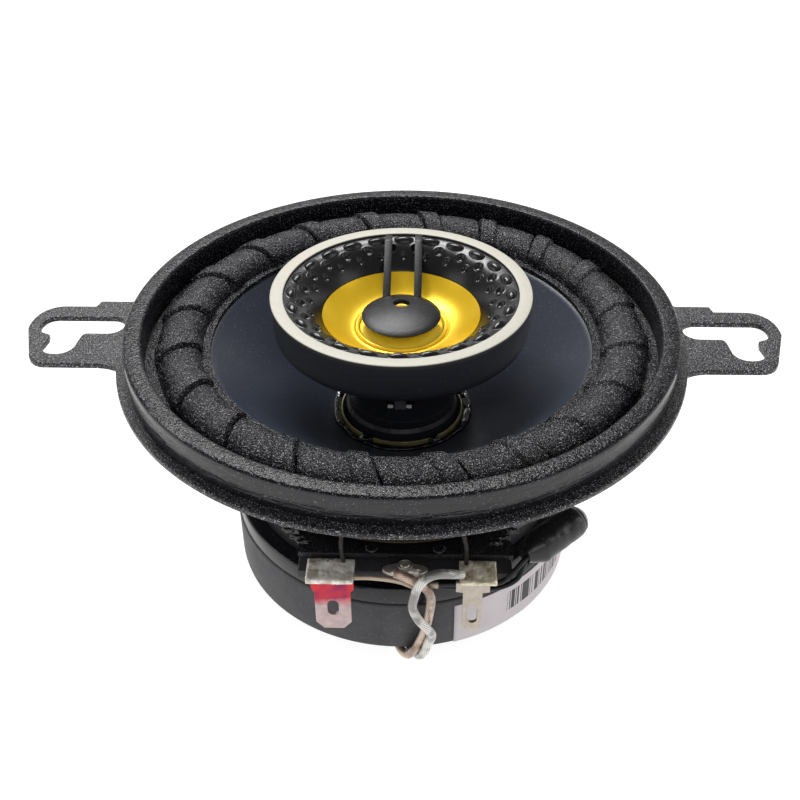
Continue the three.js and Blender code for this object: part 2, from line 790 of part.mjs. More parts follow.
// Each lead leaves the board, loops round the other, tucks under the magnet, runs along the
// groove in the back plate and climbs the hollow stud into the pod.
const NEGATIVE_LEAD = [
  [9.6, -32.2, 23.75],
  [7.8, -33.3, 25.0],
  [5.9, -34.2, 25.8],
  [4.5, -34.8, 25.7],
  [3.3, -34.8, 23.9],
  [2.6, -34.3, 20.9],
  [2.4, -33.7, 18.1],
  [3.2, -33.3, 15.2],
  [4.4, -33.2, 13.3],
  [5.3, -32.5, 10.9],
  [4.8, -31.2, 7.4],
  [4.1, -30.5, 4.4],
  [3.2, -29.0, 1.9],
  [1.7, -26.4, 1.15],
  [1.1, -22.0, 1.1],
  [0.85, -4.0, 1.1],
  [0.85, -1.2, 1.8],
  [0.85, -0.1, 4.0],
  [0.85, 0.0, 12.0],
  [0.85, 0.0, 28.0],
  [1.6, 0.0, 33.0],
  [2.0, 0.0, 36.0],
];
const POSITIVE_LEAD = [
  [-0.3, -32.2, 23.9],
  [1.2, -32.4, 23.3],
  [2.8, -32.7, 22.6],
  [4.3, -32.8, 21.4],
  [5.1, -32.3, 18.7],
  [5.0, -31.7, 15.6],
  [4.7, -30.9, 12.2],
  [4.2, -30.3, 9.2],
  [3.6, -29.9, 6.6],
  [2.6, -29.9, 4.2],
  [1.5, -29.1, 2.1],
  [0.2, -26.9, 1.2],
  [-0.5, -23.0, 1.1],
  [-0.85, -15.0, 1.1],
  [-0.85, -4.0, 1.1],
  [-0.85, -1.2, 1.8],
  [-0.85, -0.1, 4.0],
  [-0.85, 0.0, 12.0],
  [-0.85, 0.0, 28.0],
  [-1.6, 0.0, 33.0],
  [-2.0, 0.0, 36.0],
];
add("tweeter_lead_negative", wire(NEGATIVE_LEAD, LEAD_R, 60), FINISH.clearOverSilver);
add("tweeter_lead_positive", wire(POSITIVE_LEAD, LEAD_R, 60), FINISH.clearOverCopper);

// Braided leads cross the gap from the terminals to the back of the cone.
const POSITIVE_TINSEL = [
  [-8.0, -29.6, 23.4],
  [-8.2, -29.4, 27.2],
  [-7.6, -26.0, 30.0],
  [-6.8, -21.5, 30.4],
  [-6.3, -17.6, 31.0],
  [-6.1, -16.0, 32.2],
];
const NEGATIVE_TINSEL = [
  [10.3, -29.6, 23.4],
  [10.1, -29.4, 27.2],
  [8.6, -26.0, 30.0],
  [7.1, -21.5, 30.4],
  [6.3, -17.6, 31.0],
  [6.1, -16.0, 32.2],
];
add("tinsel_lead_positive", wire(POSITIVE_TINSEL, TINSEL_R, 18), FINISH.copper);
add("tinsel_lead_negative", wire(NEGATIVE_TINSEL, TINSEL_R, 18), FINISH.copper);

// ---------------------------------------------------------------- tweeter pod

// The post stands on the pole inside the voice coil, hollow for the nut and the leads.
function tweeterPost() {
  return turned(
    [
      [POLE_BORE_R, POST_Z],
      [POLE_R - 0.05, POST_Z],
      [POLE_R - 0.05, TUBE_BOTTOM_Z - 0.6],
      [TUBE_R + 0.1, TUBE_BOTTOM_Z - REST],
      [TUBE_BORE_R - 0.15, TUBE_BOTTOM_Z - REST],
      [TUBE_BORE_R - 0.15, 34.8],
      [6.3, 34.8],
      [6.3, 22.15],
      [POLE_BORE_R, 22.15],
    ],
    MEDIUM,
  );
}

add("tweeter_post", tweeterPost(), FINISH.blackPlastic);

// The pod is a shallow cup on a tube; a small window in the tube shows the tweeter's clip.
function tweeterHousing() {
  const cup = solid(
    turned(
      [
        [TUBE_BORE_R, TUBE_BOTTOM_Z],
        [TUBE_R, TUBE_BOTTOM_Z],
        [TUBE_R, 43.4],
        [14.5, 44.1],
        [18.4, 44.9],
        [POD_R - 0.1, POD_WALL_Z],
        [POD_R, POD_RIM_Z],
        [POD_INNER_R, POD_RIM_Z],
        [POD_INNER_R, 46.8],
        [17.6, 46.0],
        [9.2, 44.9],
        [TUBE_BORE_R, 44.9],
      ],
      FINE,
    ),
  );
  const clipWindow = solid(block([-2.2, -10, 36.2], [2.2, -6.5, 38.1]));
  return toGeometry(cup.subtract(clipWindow));
}

add("tweeter_housing", tweeterHousing(), FINISH.blackPlastic);
add("tweeter_trim_ring", ring(TRIM_INNER_R, TRIM_R, POD_RIM_Z + REST, TRIM_TOP_Z, FINE), FINISH.cream);

// The clip under the tweeter's motor, with a tongue that shows in the window.
function tweeterClip() {
  const disc = solid(ring(3.6, TUBE_BORE_R - 0.4, CLIP_Z, CLIP_Z + 0.4, COARSE));
  const arm = solid(block([-0.85, -9.2, CLIP_Z], [0.85, -6.0, CLIP_Z + 0.4]));
  const tongue = solid(block([-0.85, -9.2, 36.4], [0.85, -8.8, 37.9]));
  return toGeometry(disc.add(arm).add(tongue));
}

add("tweeter_clip", tweeterClip(), FINISH.nickel);

function tweeterYoke() {
  return turned(
    [
      [0, 37.5],
      [7.3, 37.5],
      [7.3, 43.6],
      [6.1, 43.6],
      [6.1, 38.8],
      [0, 38.8],
    ],
    MEDIUM,
  );
}

add("tweeter_yoke", tweeterYoke(), FINISH.zinc);
add("tweeter_magnet", rod(4.6, 38.85, 42.2, COARSE), FINISH.nickel);
add("tweeter_pole_plate", rod(4.8, 42.25, 43.6, COARSE), FINISH.zinc);

// A thin dome on a skirt that carries the tweeter's coil.
function tweeterDome() {
  const steps = 5;
  const wall = 0.25;
  const inner = TWEETER_FORMER_R - 0.3;
  const height = (r) => DOME_EDGE_Z + (DOME_TOP_Z - DOME_EDGE_Z) * (1 - (r / DOME_R) ** 2.6);
  const face = [];
  const under = [];
  for (let i = 0; i <= steps; i += 1) {
    face.push([(DOME_R * i) / steps, height((DOME_R * i) / steps)]);
    under.push([(inner * i) / steps, height((inner * i) / steps) - wall]);
  }
  const former = [
    [inner, 41.3],
    [TWEETER_FORMER_R, 41.3],
    [TWEETER_FORMER_R, height(TWEETER_FORMER_R) - wall],
    [DOME_R - 0.05, DOME_EDGE_Z - wall],
  ];
  return turned([...under, ...former, ...face.reverse()], COARSE);
}

add("tweeter_dome", tweeterDome(), FINISH.gold);
add("tweeter_coil", ring(TWEETER_FORMER_R + REST, 5.8, 41.5, 44.4, COARSE), FINISH.copper);

// The small half roll that holds the dome.
function tweeterSurround() {
  const low = 45.2;
  return turned(
    [
      [DOME_R + 0.08, low + 0.45],
      [DOME_R + 0.3, low + 0.1],
      [HORN_THROAT_R - 0.2, low],
      [9.4, low],
      [9.4, low + 0.2],
      [HORN_THROAT_R - 0.1, low + 0.2],
      [HORN_THROAT_R - 0.15, low + 0.75],
      [HORN_THROAT_R - 0.35, low + 1.1],
      [DOME_R + 0.2, low + 1.05],
      [DOME_R + 0.08, low + 0.8],
    ],
    MEDIUM,
  );
}

add("tweeter_surround", tweeterSurround(), FINISH.gold);

// The shallow gold bowl round the dome.
function tweeterHorn() {
  const steps = 4;
  const face = [];
  const back = [];
  for (let i = 0; i <= steps; i += 1) {
    const share = i / steps;
    const r = HORN_THROAT_R + (HORN_MOUTH_R - HORN_THROAT_R) * share;
    const z = HORN_THROAT_Z + (HORN_MOUTH_Z - HORN_THROAT_Z) * share ** 1.8;
    face.push([r, z]);
    back.push([r + 0.25 * share, z - 0.45 - 0.15 * share]);
  }
  return turned(
    [
      ...back,
      [13.7, HORN_MOUTH_Z - 0.8],
      [13.7, HORN_MOUTH_Z - 0.5],
      [HORN_MOUTH_R + 0.05, HORN_MOUTH_Z - 0.5],
      ...face.reverse(),
    ],
    MEDIUM,
  );
}

add("tweeter_horn", tweeterHorn(), FINISH.gold);

// The black flare between the bowl and the trim ring.
function tweeterFlare() {
  const mouth = HORN_MOUTH_R + 0.1;
  const steps = 5;
  const face = [];
  for (let i = 0; i < steps; i += 1) {
    const share = i / steps;
    const rise = (FLARE_LIP_Z - HORN_MOUTH_Z) * (1 - (1 - share) ** 2);
    face.push([mouth + (TRIM_INNER_R - mouth) * share, HORN_MOUTH_Z + rise]);
  }
  return turned(
    [
      [mouth, HORN_MOUTH_Z - 0.45],
      [13.5, HORN_MOUTH_Z - 0.45],
      [15.6, 50.3],
      [17.2, 51.0],
      [POD_INNER_R - 0.15, 51.2],
      [POD_INNER_R - 0.15, POD_RIM_Z],
      [TRIM_INNER_R - 0.05, POD_RIM_Z],
      [TRIM_INNER_R - 0.05, FLARE_LIP_Z],
      ...face.reverse(),
    ],
    FINE,
  );
}

add("tweeter_flare", tweeterFlare(), FINISH.blackPlastic);

// A slightly domed disc in front of the dome, held by two bars from the back of the rim.
function tweeterPhaseDisc() {
  let body = solid(
    turned(
      [
        [0, DISC_EDGE_Z + 0.2],
        [DISC_R - 0.3, DISC_EDGE_Z - 0.3],
        [DISC_R, DISC_EDGE_Z],
        [DISC_R * 0.75, DISC_EDGE_Z + 0.5],
        [DISC_R * 0.4, DISC_TOP_Z - 0.12],
        [0, DISC_TOP_Z],
      ],
      MEDIUM,
    ),
  );
  const outerY = TRIM_INNER_R - 0.35;
  const kinkY = 16.0;
  const innerY = 5.2;
  for (const x of [-BAR_X, BAR_X]) {
    const bar = new THREE.Shape();
    bar.moveTo(innerY, 47.8);
    bar.lineTo(kinkY, FLARE_LIP_Z - 0.1);
    bar.lineTo(outerY, FLARE_LIP_Z + REST);
    bar.lineTo(outerY, TRIM_TOP_Z - 0.05);
    bar.lineTo(kinkY, TRIM_TOP_Z - 0.1);
    bar.lineTo(innerY, 48.3);
    const geometry = plate(bar, x - BAR_W / 2, x + BAR_W / 2);
    // The outline's first axis becomes Y, its second Z, and the thickness X.
    geometry.applyMatrix4(new THREE.Matrix4().set(0, 0, 1, 0, 1, 0, 0, 0, 0, 1, 0, 0, 0, 0, 0, 1));
    body = body.add(solid(geometry));
  }
  return toGeometry(body.subtract(solid(rod(DISC_HOLE_R, 40, 55, 16, 0, DISC_HOLE_Y))));
}

add("tweeter_phase_disc", tweeterPhaseDisc(), FINISH.blackPlastic);

export default speaker;
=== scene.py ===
"""Looks of the coaxial car speaker. Lengths below are in millimetres unless they say otherwise."""

import math
from math import cos, hypot, pi, radians, sin

import bmesh
import bpy
from mathutils import Matrix, Vector, noise


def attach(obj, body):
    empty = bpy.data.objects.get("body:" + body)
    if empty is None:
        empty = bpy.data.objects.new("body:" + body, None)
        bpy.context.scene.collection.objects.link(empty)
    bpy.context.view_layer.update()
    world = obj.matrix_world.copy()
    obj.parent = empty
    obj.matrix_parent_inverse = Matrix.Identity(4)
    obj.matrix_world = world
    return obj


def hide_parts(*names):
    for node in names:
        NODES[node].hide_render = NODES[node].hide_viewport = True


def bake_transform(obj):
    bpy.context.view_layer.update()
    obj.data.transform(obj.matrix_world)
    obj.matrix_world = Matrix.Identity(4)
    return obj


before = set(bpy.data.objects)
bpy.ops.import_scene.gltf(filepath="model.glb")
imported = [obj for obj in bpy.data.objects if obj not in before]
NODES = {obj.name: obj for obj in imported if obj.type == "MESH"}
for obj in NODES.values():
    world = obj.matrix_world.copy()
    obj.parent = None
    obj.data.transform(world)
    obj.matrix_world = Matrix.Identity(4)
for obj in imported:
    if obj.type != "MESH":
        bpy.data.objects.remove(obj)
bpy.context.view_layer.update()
scene = bpy.context.scene
MM = 0.001

# ---- camera

CAMERA_AZIMUTH = radians(1.8)
CAMERA_DISTANCE = 145.38
CAMERA_HEIGHT = 141.41
CAMERA_SHIFT_LEFT = 0.3
CAMERA_PITCH = radians(37.137)
CAMERA_ROLL = radians(-0.43)


def make_camera():
    data = bpy.data.cameras.new("camera")
    data.lens = 49.5
    data.sensor_width = 36.0
    data.clip_start = 0.005
    data.clip_end = 10.0
    camera = bpy.data.objects.new("camera", data)
    scene.collection.objects.link(camera)
    place = Vector((-CAMERA_SHIFT_LEFT, -CAMERA_DISTANCE, CAMERA_HEIGHT)) * MM
    turn = Matrix.Rotation(CAMERA_AZIMUTH, 4, "Z")
    tilt = Matrix.Rotation(pi / 2 - CAMERA_PITCH, 4, "X")
    roll = Matrix.Rotation(CAMERA_ROLL, 4, "Z")
    camera.matrix_world = turn @ Matrix.Translation(place) @ tilt @ roll
    scene.camera = camera


make_camera()

# ---- mesh helpers


def clamp(value, low=0.0, high=1.0):
    return min(max(value, low), high)


def polar(r, angle, z):
    """The point at a radius, an angle in radians and a height."""
    return (r * cos(angle), r * sin(angle), z)


def shade(mesh, degrees=35.0):
    """Smooth shading, but crisp at edges sharper than the angle."""
    for face in mesh.polygons:
        face.use_smooth = True
    mesh.set_sharp_from_angle(angle=radians(degrees))


def link(name, mesh, finish, sharp=35.0):
    """A new object from a mesh, with its finish and its shading."""
    obj = bpy.data.objects.new(name, mesh)
    scene.collection.objects.link(obj)
    mesh.materials.clear()
    mesh.materials.append(FINISH[finish])
    shade(mesh, sharp)
    return obj


def from_lists(name, points, faces, finish, sharp=35.0):
    mesh = bpy.data.meshes.new(name)
    mesh.from_pydata([[c * MM for c in p] for p in points], [], faces)
    mesh.update()
    return link(name, mesh, finish, sharp)


def settled(obj):
    """The mesh that obj has once its modifiers, or its curve's settings, are applied."""
    ready = obj.evaluated_get(bpy.context.evaluated_depsgraph_get())
    return bpy.data.meshes.new_from_object(ready)


def rings(section, around):
    """Points of rings about Z, one ring for each [radius, height] pair."""
    return [polar(r, 2 * pi * k / around, z) for r, z in section for k in range(around)]


def closed_faces(rows, around):
    """Faces between neighbouring rings, and from the last ring back to the first."""
    faces = []
    for i in range(rows):
        n = (i + 1) % rows
        for k in range(around):
            m = (k + 1) % around
            faces.append((i * around + k, n * around + k, n * around + m, i * around + m))
    return faces


def sheet_faces(columns, height):
    """Faces of a sheet of columns, each with the same number of points."""
    starts = [i * height + k for i in range(columns - 1) for k in range(height - 1)]
    return [(a, a + height, a + height + 1, a + 1) for a in starts]


def rounded(profile, radius, steps=3):
    """A closed outline with each clear corner replaced by a small curve. Points on the axis stay."""
    made = []
    count = len(profile)
    for i, point in enumerate(profile):
        here = Vector(point[:2])
        before = Vector(profile[i - 1][:2]) - here
        after = Vector(profile[(i + 1) % count][:2]) - here
        own = point[2] if len(point) > 2 else radius
        straight = pi - before.angle(after)
        if own <= 0 or point[0] == 0 or straight < 0.2:
            made.append(here)
            continue
        reach = min(own, 0.45 * before.length, 0.45 * after.length)
        start = here + before.normalized() * reach
        end = here + after.normalized() * reach
        for k in range(steps + 1):
            t = k / steps
            made.append(start * (1 - t) ** 2 + here * 2 * t * (1 - t) + end * t * t)
    return [(p[0], p[1]) for p in made]


def turned(name, profile, finish, corner=0.12, segments=192, change=None, sharp=35.0):
    """A closed outline of [radius, height] pairs turned about Z. change(angle, r, z) moves each point."""
    outline = rounded(profile, corner) if corner else [p[:2] for p in profile]
    points, loops, faces = [], [], []
    for r, z in outline:
        if r < 1e-6:
            loops.append([len(points)] * segments)
            points.append((0.0, 0.0, z))
            continue
        loops.append([len(points) + k for k in range(segments)])
        for k in range(segments):
            angle = 2 * pi * k / segments
            dr, dz = change(angle, r, z) if change else (0.0, 0.0)
            points.append(polar(r + dr, angle, z + dz))
    for i, low in enumerate(loops):
        high = loops[(i + 1) % len(loops)]
        for k in range(segments):
            n = (k + 1) % segments
            corners = dict.fromkeys([low[k], low[n], high[n], high[k]])
            if len(corners) > 2:
                faces.append(list(corners))
    return from_lists(name, points, faces, finish, sharp)


def arc(cx, cy, radius, start, end, steps):
    """Points on an arc, angles in degrees."""
    made = []
    for k in range(steps + 1):
        angle = radians(start + (end - start) * k / steps)
        made.append((cx + radius * cos(angle), cy + radius * sin(angle)))
    return made


def curved(start, middle, end, steps=8):
    """Points after start on a quadratic curve towards middle that ends at end."""
    a, b, c = Vector(start), Vector(middle), Vector(end)
    made = []
    for k in range(1, steps + 1):
        t = k / steps
        made.append(tuple(a * (1 - t) ** 2 + b * 2 * t * (1 - t) + c * t * t))
    return made


def cut_sheet(name, outline, holes, bottom, top, finish, edge, upright_y=None):
    """Sheet cut to an outline with holes and slightly rounded edges. upright_y stands it up facing -Y."""
    curve = bpy.data.curves.new(name, "CURVE")
    curve.dimensions = "2D"
    curve.fill_mode = "BOTH"
    curve.extrude = ((top - bottom) / 2 - edge) * MM
    curve.bevel_depth = edge * MM
    curve.bevel_resolution = 2
    curve.offset = -edge * MM
    for line in [outline, *holes]:
        spline = curve.splines.new("POLY")
        spline.points.add(len(line) - 1)
        for point, (x, y) in zip(spline.points, line):
            point.co = (x * MM, y * MM, 0.0, 1.0)
        spline.use_cyclic_u = True
    holder = bpy.data.objects.new(name + "_outline", curve)
    scene.collection.objects.link(holder)
    mesh = settled(holder)
    bpy.data.objects.remove(holder)
    middle = (bottom + top) / 2 * MM
    if upright_y is None:
        mesh.transform(Matrix.Translation((0, 0, middle)))
    else:
        mesh.transform(Matrix.Rotation(pi / 2, 4, "X"))
        mesh.transform(Matrix.Translation((0, upright_y * MM + middle, 0)))
    merge(mesh)
    return link(name, mesh, finish, 30.0)


def merge(mesh):
    """Joins points that coincide, and turns every face outwards."""
    work = bmesh.new()
    work.from_mesh(mesh)
    bmesh.ops.remove_doubles(work, verts=work.verts, dist=1e-6)
    bmesh.ops.recalc_face_normals(work, faces=work.faces)
    work.to_mesh(mesh)
    work.free()
    mesh.update()


def join(name, objects):
    """Several objects as one, keeping each one's material."""
    first = objects[0]
    with bpy.context.temp_override(
        active_object=first, object=first, selected_objects=objects, selected_editable_objects=objects
    ):
        bpy.ops.object.join()
    first.name = name
    return first


def cutter(name, low, high):
    """A plain box between two corners, for cutting with or for softening into a small part."""
    points = [(x, y, z) for x in (low[0], high[0]) for y in (low[1], high[1]) for z in (low[2], high[2])]
    faces = [(0, 1, 3, 2), (4, 6, 7, 5), (0, 4, 5, 1), (2, 3, 7, 6), (0, 2, 6, 4), (1, 5, 7, 3)]
    mesh = bpy.data.meshes.new(name)
    mesh.from_pydata([[c * MM for c in p] for p in points], [], faces)
    merge(mesh)
    obj = bpy.data.objects.new(name, mesh)
    scene.collection.objects.link(obj)
    return obj


def carve(obj, tools, operation="DIFFERENCE"):
    """Cuts the tools out of obj, or joins them to it, and removes them."""
    for tool in tools:
        change = obj.modifiers.new("carve", "BOOLEAN")
        change.operation = operation
        change.solver = "EXACT"
        change.object = tool
    mesh = settled(obj)
    obj.modifiers.clear()
    obj.data = mesh
    for tool in tools:
        bpy.data.objects.remove(tool)
    return obj


def soften_edges(obj, width, angle=40.0):
    """Rounds the edges sharper than the angle."""
    change = obj.modifiers.new("edges", "BEVEL")
    change.width = width * MM
    change.segments = 2
    change.limit_method = "ANGLE"
    change.angle_limit = radians(angle)
    change.use_clamp_overlap = True
    mesh = settled(obj)
    obj.modifiers.clear()
    obj.data = mesh
    shade(mesh, 38.0)
    return obj


def between(a, b, low, high, t):
    """The point at t on a straight run from a, at low, to b, at high."""
    share = (t - low) / (high - low)
    return a * (1 - share) + b * share


def smooth_path(points, per_span=12):
    """Points on a centripetal Catmull-Rom curve through the given ones."""
    given = [Vector(p) for p in points]
    line = [given[0] * 2 - given[1], *given, given[-1] * 2 - given[-2]]
    made = []
    for p in zip(line, line[1:], line[2:], line[3:]):
        knots = [0.0]
        for a, b in zip(p, p[1:]):
            knots.append(knots[-1] + max((b - a).length, 1e-6) ** 0.5)
        for k in range(per_span):
            t = knots[1] + (knots[2] - knots[1]) * k / per_span
            first = [between(p[j], p[j + 1], knots[j], knots[j + 1], t) for j in range(3)]
            second = [between(first[j], first[j + 1], knots[j], knots[j + 2], t) for j in range(2)]
            made.append(between(*second, knots[1], knots[2], t))
    made.append(given[-1])
    return made


def tube(name, line, radius, finish, sides, change=None):
    """A round tube along a line of points, with u round it and v along it in millimetres."""
    points, faces, run = [], [], [0.0]
    for a, b in zip(line, line[1:]):
        run.append(run[-1] + (b - a).length)
    side = Vector((1, 0, 0))
    for i, here in enumerate(line):
        ahead = (line[min(i + 1, len(line) - 1)] - line[max(i - 1, 0)]).normalized()
        if i == 0 and abs(ahead.dot(side)) > 0.9:
            side = Vector((0, 1, 0))
        side = (side - ahead * side.dot(ahead)).normalized()
        up = ahead.cross(side)
        for k in range(sides):
            angle = 2 * pi * k / sides
            r = radius * (change(run[i], run[-1], angle) if change else 1.0)
            points.append(here + (side * cos(angle) + up * sin(angle)) * r)
    for i in range(len(line) - 1):
        for k in range(sides):
            n = (k + 1) % sides
            faces.append((i * sides + k, i * sides + n, (i + 1) * sides + n, (i + 1) * sides + k))
    faces.append(tuple(reversed(range(sides))))
    faces.append(tuple((len(line) - 1) * sides + k for k in range(sides)))
    obj = from_lists(name, points, faces, finish, 60.0)
    layer = obj.data.uv_layers.new(name="along")
    for face in obj.data.polygons:
        around = [v % sides for v in face.vertices]
        closing = len(around) == 4 and sides - 1 in around
        for loop in face.loop_indices:
            v = obj.data.loops[loop].vertex_index
            k, i = v % sides, v // sides
            u = 1.0 if closing and k == 0 else k / sides
            layer.data[loop].uv = (u, run[i])
    return obj


def blob(name, centre, size, finish, seed, rough=0.18, tilt=0.0):
    """A drop of solder or glue: a squashed ball with an uneven skin."""
    work = bmesh.new()
    bmesh.ops.create_icosphere(work, subdivisions=4, radius=1.0)
    for v in work.verts:
        lift = 1.0 + rough * noise.noise(v.co * 1.6 + Vector((seed, 0, 0)))
        lift += rough * 0.5 * noise.noise(v.co * 4.0 + Vector((0, seed, 0)))
        v.co = Vector([c * lift * s for c, s in zip(v.co, size)])
    mesh = bpy.data.meshes.new(name)
    work.to_mesh(mesh)
    work.free()
    mesh.transform(Matrix.Scale(MM, 4))
    mesh.transform(Matrix.Rotation(tilt, 4, "X"))
    mesh.transform(Matrix.Translation(Vector(centre) * MM))
    return link(name, mesh, finish, 80.0)


def give(obj, body, slot, *replaced):
    """obj rides on a body and stands for CAD nodes. The slot is not used."""
    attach(obj, body)
    if replaced:
        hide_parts(*replaced)
    return obj


# ---- materials


class Finish:
    """A principled material with short ways to add the detail of a real surface."""

    def __init__(self, name, color, roughness, metallic=0.0, **sockets):
        self.material = bpy.data.materials.new(name)
        self.material.use_nodes = True
        self.tree = self.material.node_tree
        self.shader = self.tree.nodes["Principled BSDF"]
        self.put("Base Color", (*color, 1.0))
        self.put("Roughness", roughness)
        self.put("Metallic", metallic)
        for socket, value in sockets.items():
            self.put(socket.replace("_", " "), value)
        self.color = color
        self.coords = self.node("ShaderNodeTexCoord").outputs["Object"]
        self.last_normal = None

    def feed(self, socket, value):
        """Gives a socket a value, or links another node's output to it."""
        if isinstance(value, bpy.types.NodeSocket):
            self.tree.links.new(value, socket)
        else:
            socket.default_value = value

    def put(self, socket, value):
        self.feed(self.shader.inputs[socket], value)

    def node(self, kind, inputs=None, **settings):
        """A new node with its settings, and with values or links for its inputs by name."""
        made = self.tree.nodes.new(kind)
        for key, value in settings.items():
            setattr(made, key, value)
        for key, value in (inputs or {}).items():
            self.feed(made.inputs[key], value)
        return made

    def noise(self, scale, detail=2.0, roughness=0.5):
        """Noise at one scale, or stretched by a scale for each axis."""
        vector = self.coords
        if isinstance(scale, tuple):
            vector = self.node("ShaderNodeMapping", {"Vector": vector, "Scale": scale}).outputs["Vector"]
            scale = 1.0
        inputs = {"Vector": vector, "Scale": scale, "Detail": detail, "Roughness": roughness}
        return self.node("ShaderNodeTexNoise", inputs).outputs["Fac"]

    def wave(self, direction, scale):
        inputs = {"Vector": self.coords, "Scale": scale}
        return self.node("ShaderNodeTexWave", inputs, bands_direction=direction).outputs["Fac"]

    def fade(self, source, low, high, to_low=0.0, to_high=1.0):
        """A source mapped evenly, so that low and high give the two ends. Places are in metres here."""
        inputs = {"Value": source, "From Min": low, "From Max": high, "To Min": to_low, "To Max": to_high}
        return self.node("ShaderNodeMapRange", inputs).outputs["Result"]

    def ramp(self, source, low, high, start=(0, 0, 0), end=(1, 1, 1)):
        made = self.node("ShaderNodeValToRGB", {"Fac": source})
        for stop, position, color in zip(made.color_ramp.elements, (low, high), (start, end)):
            stop.position = position
            stop.color = (*color, 1.0)
        return made.outputs["Color"]

    def blend(self, factor, first, second):
        """A mix of two colours, each a tuple or a source."""
        made = self.node("ShaderNodeMix", {"Factor": factor}, data_type="RGBA")
        ends = [s for s in made.inputs if s.type == "RGBA"]
        for socket, value in zip(ends, (first, second)):
            self.feed(socket, (*value, 1.0) if isinstance(value, tuple) else value)
        return [s for s in made.outputs if s.type == "RGBA"][0]

    def math(self, operation, *values):
        made = self.node("ShaderNodeMath", operation=operation)
        for socket, value in zip(made.inputs, values):
            self.feed(socket, value)
        return made.outputs[0]

    def axes(self, coords=None):
        return self.node("ShaderNodeSeparateXYZ", {"Vector": coords or self.coords}).outputs

    def paint(self, source):
        self.put("Base Color", source)

    def wear(self, source, low, high):
        """Roughness that varies between two values with a source."""
        self.put("Roughness", self.fade(source, 0.0, 1.0, low, high))

    def bump(self, source, depth):
        """Adds relief, depth in millimetres, on top of any earlier relief."""
        inputs = {"Height": source, "Distance": depth * MM, "Strength": 1.0}
        if self.last_normal is not None:
            inputs["Normal"] = self.last_normal
        self.last_normal = self.node("ShaderNodeBump", inputs).outputs["Normal"]
        self.put("Normal", self.last_normal)

    def skin(self, reliefs, wear):
        """Reliefs of (depth, noise values) and wear of (low, high, noise values)."""
        for depth, *values in reliefs:
            self.bump(self.noise(*values), depth)
        if wear:
            low, high, *values = wear
            self.wear(self.noise(*values), low, high)


def painted_glints_and_specks(finish, scale, amount, color, low, high):
    """Fine specks over the base colour. On the dark coatings these pale specks are painted glints; on the
    cream they are darker than its base.
    """
    specks = finish.ramp(finish.noise(scale, 1.0), low, high)
    shade = finish.math("MULTIPLY", specks, amount)
    return finish.blend(shade, finish.color, color)


# Near-black coatings and plastics by key: name, colour, roughness, specular level,
# pale specks painted as glints (scale, amount, colour, low, high), reliefs and wear as in Finish.skin
COATINGS = {
    "rubber": (
        "gasket_rubber", (0.003, 0.003, 0.0045), 0.2, 0.17,
        (5600, 1.0, (0.20, 0.20, 0.23), 0.64, 0.72), [(0.14, 2600), (0.14, 600)], (0.16, 0.3, 500, 3.0),
    ),
    "gloss": (
        "gasket_wall", (0.004, 0.004, 0.0065), 0.16, 0.5,
        (3600, 0.5, (0.22, 0.22, 0.24), 0.66, 0.76),
        [(0.16, (150, 150, 1300), 3.0, 0.6)], (0.12, 0.34, (120, 120, 700)),
    ),
    "plate": (
        "black_plating", (0.003, 0.0035, 0.006), 0.2, 0.5,
        (3600, 0.6, (0.2, 0.2, 0.24), 0.70, 0.78),
        [(0.05, (160, 160, 1200), 3.0, 0.6)], (0.16, 0.36, (150, 150, 900), 3.0),
    ),
    "foam": (
        "surround_foam", (0.0025, 0.0025, 0.004), 0.26, 0.26,
        (5400, 1.0, (0.34, 0.34, 0.37), 0.61, 0.70), [(0.32, 2800, 2.0, 0.65)], None,
    ),
    "poly": (
        "cone_film", (0.026, 0.0315, 0.047), 0.34, 0.3,
        (3600, 0.5, (0.16, 0.17, 0.20), 0.64, 0.78), [(0.02, 3000)], (0.28, 0.44, 160, 4.0, 0.6),
    ),
    "pod": (
        "pod_plastic", (0.015, 0.016, 0.022), 0.4, 0.3,
        (3000, 0.4, (0.14, 0.14, 0.15), 0.70, 0.8), [(0.015, 4500)], (0.34, 0.48, 300, 3.0),
    ),
    "flare": (
        "flare_plastic", (0.004, 0.004, 0.005), 0.24, 0.34,
        (3500, 0.3, (0.12, 0.12, 0.12), 0.70, 0.8), [(0.012, 4200)], (0.2, 0.32, 400, 3.0),
    ),
    "disc": (
        "disc_plastic", (0.004, 0.004, 0.005), 0.36, 0.24,
        (5200, 0.5, (0.14, 0.14, 0.14), 0.60, 0.75), [(0.03, 5200)], None,
    ),
    "board": (
        "fibre_board", (0.034, 0.034, 0.038), 0.5, 0.3,
        (2500, 0.4, (0.10, 0.10, 0.105), 0.6, 0.8), [(0.05, 1500, 4.0)], None,
    ),
    "shrink": (
        "heat_shrink", (0.004, 0.004, 0.0045), 0.3, 0.45,
        (2500, 0.3, (0.12, 0.12, 0.12), 0.68, 0.78), [(0.14, 420, 3.0)], None,
    ),
    "glue": ("black_glue", (0.002, 0.002, 0.0025), 0.08, 0.6, None, [(0.25, 350, 3.0)], None),
}
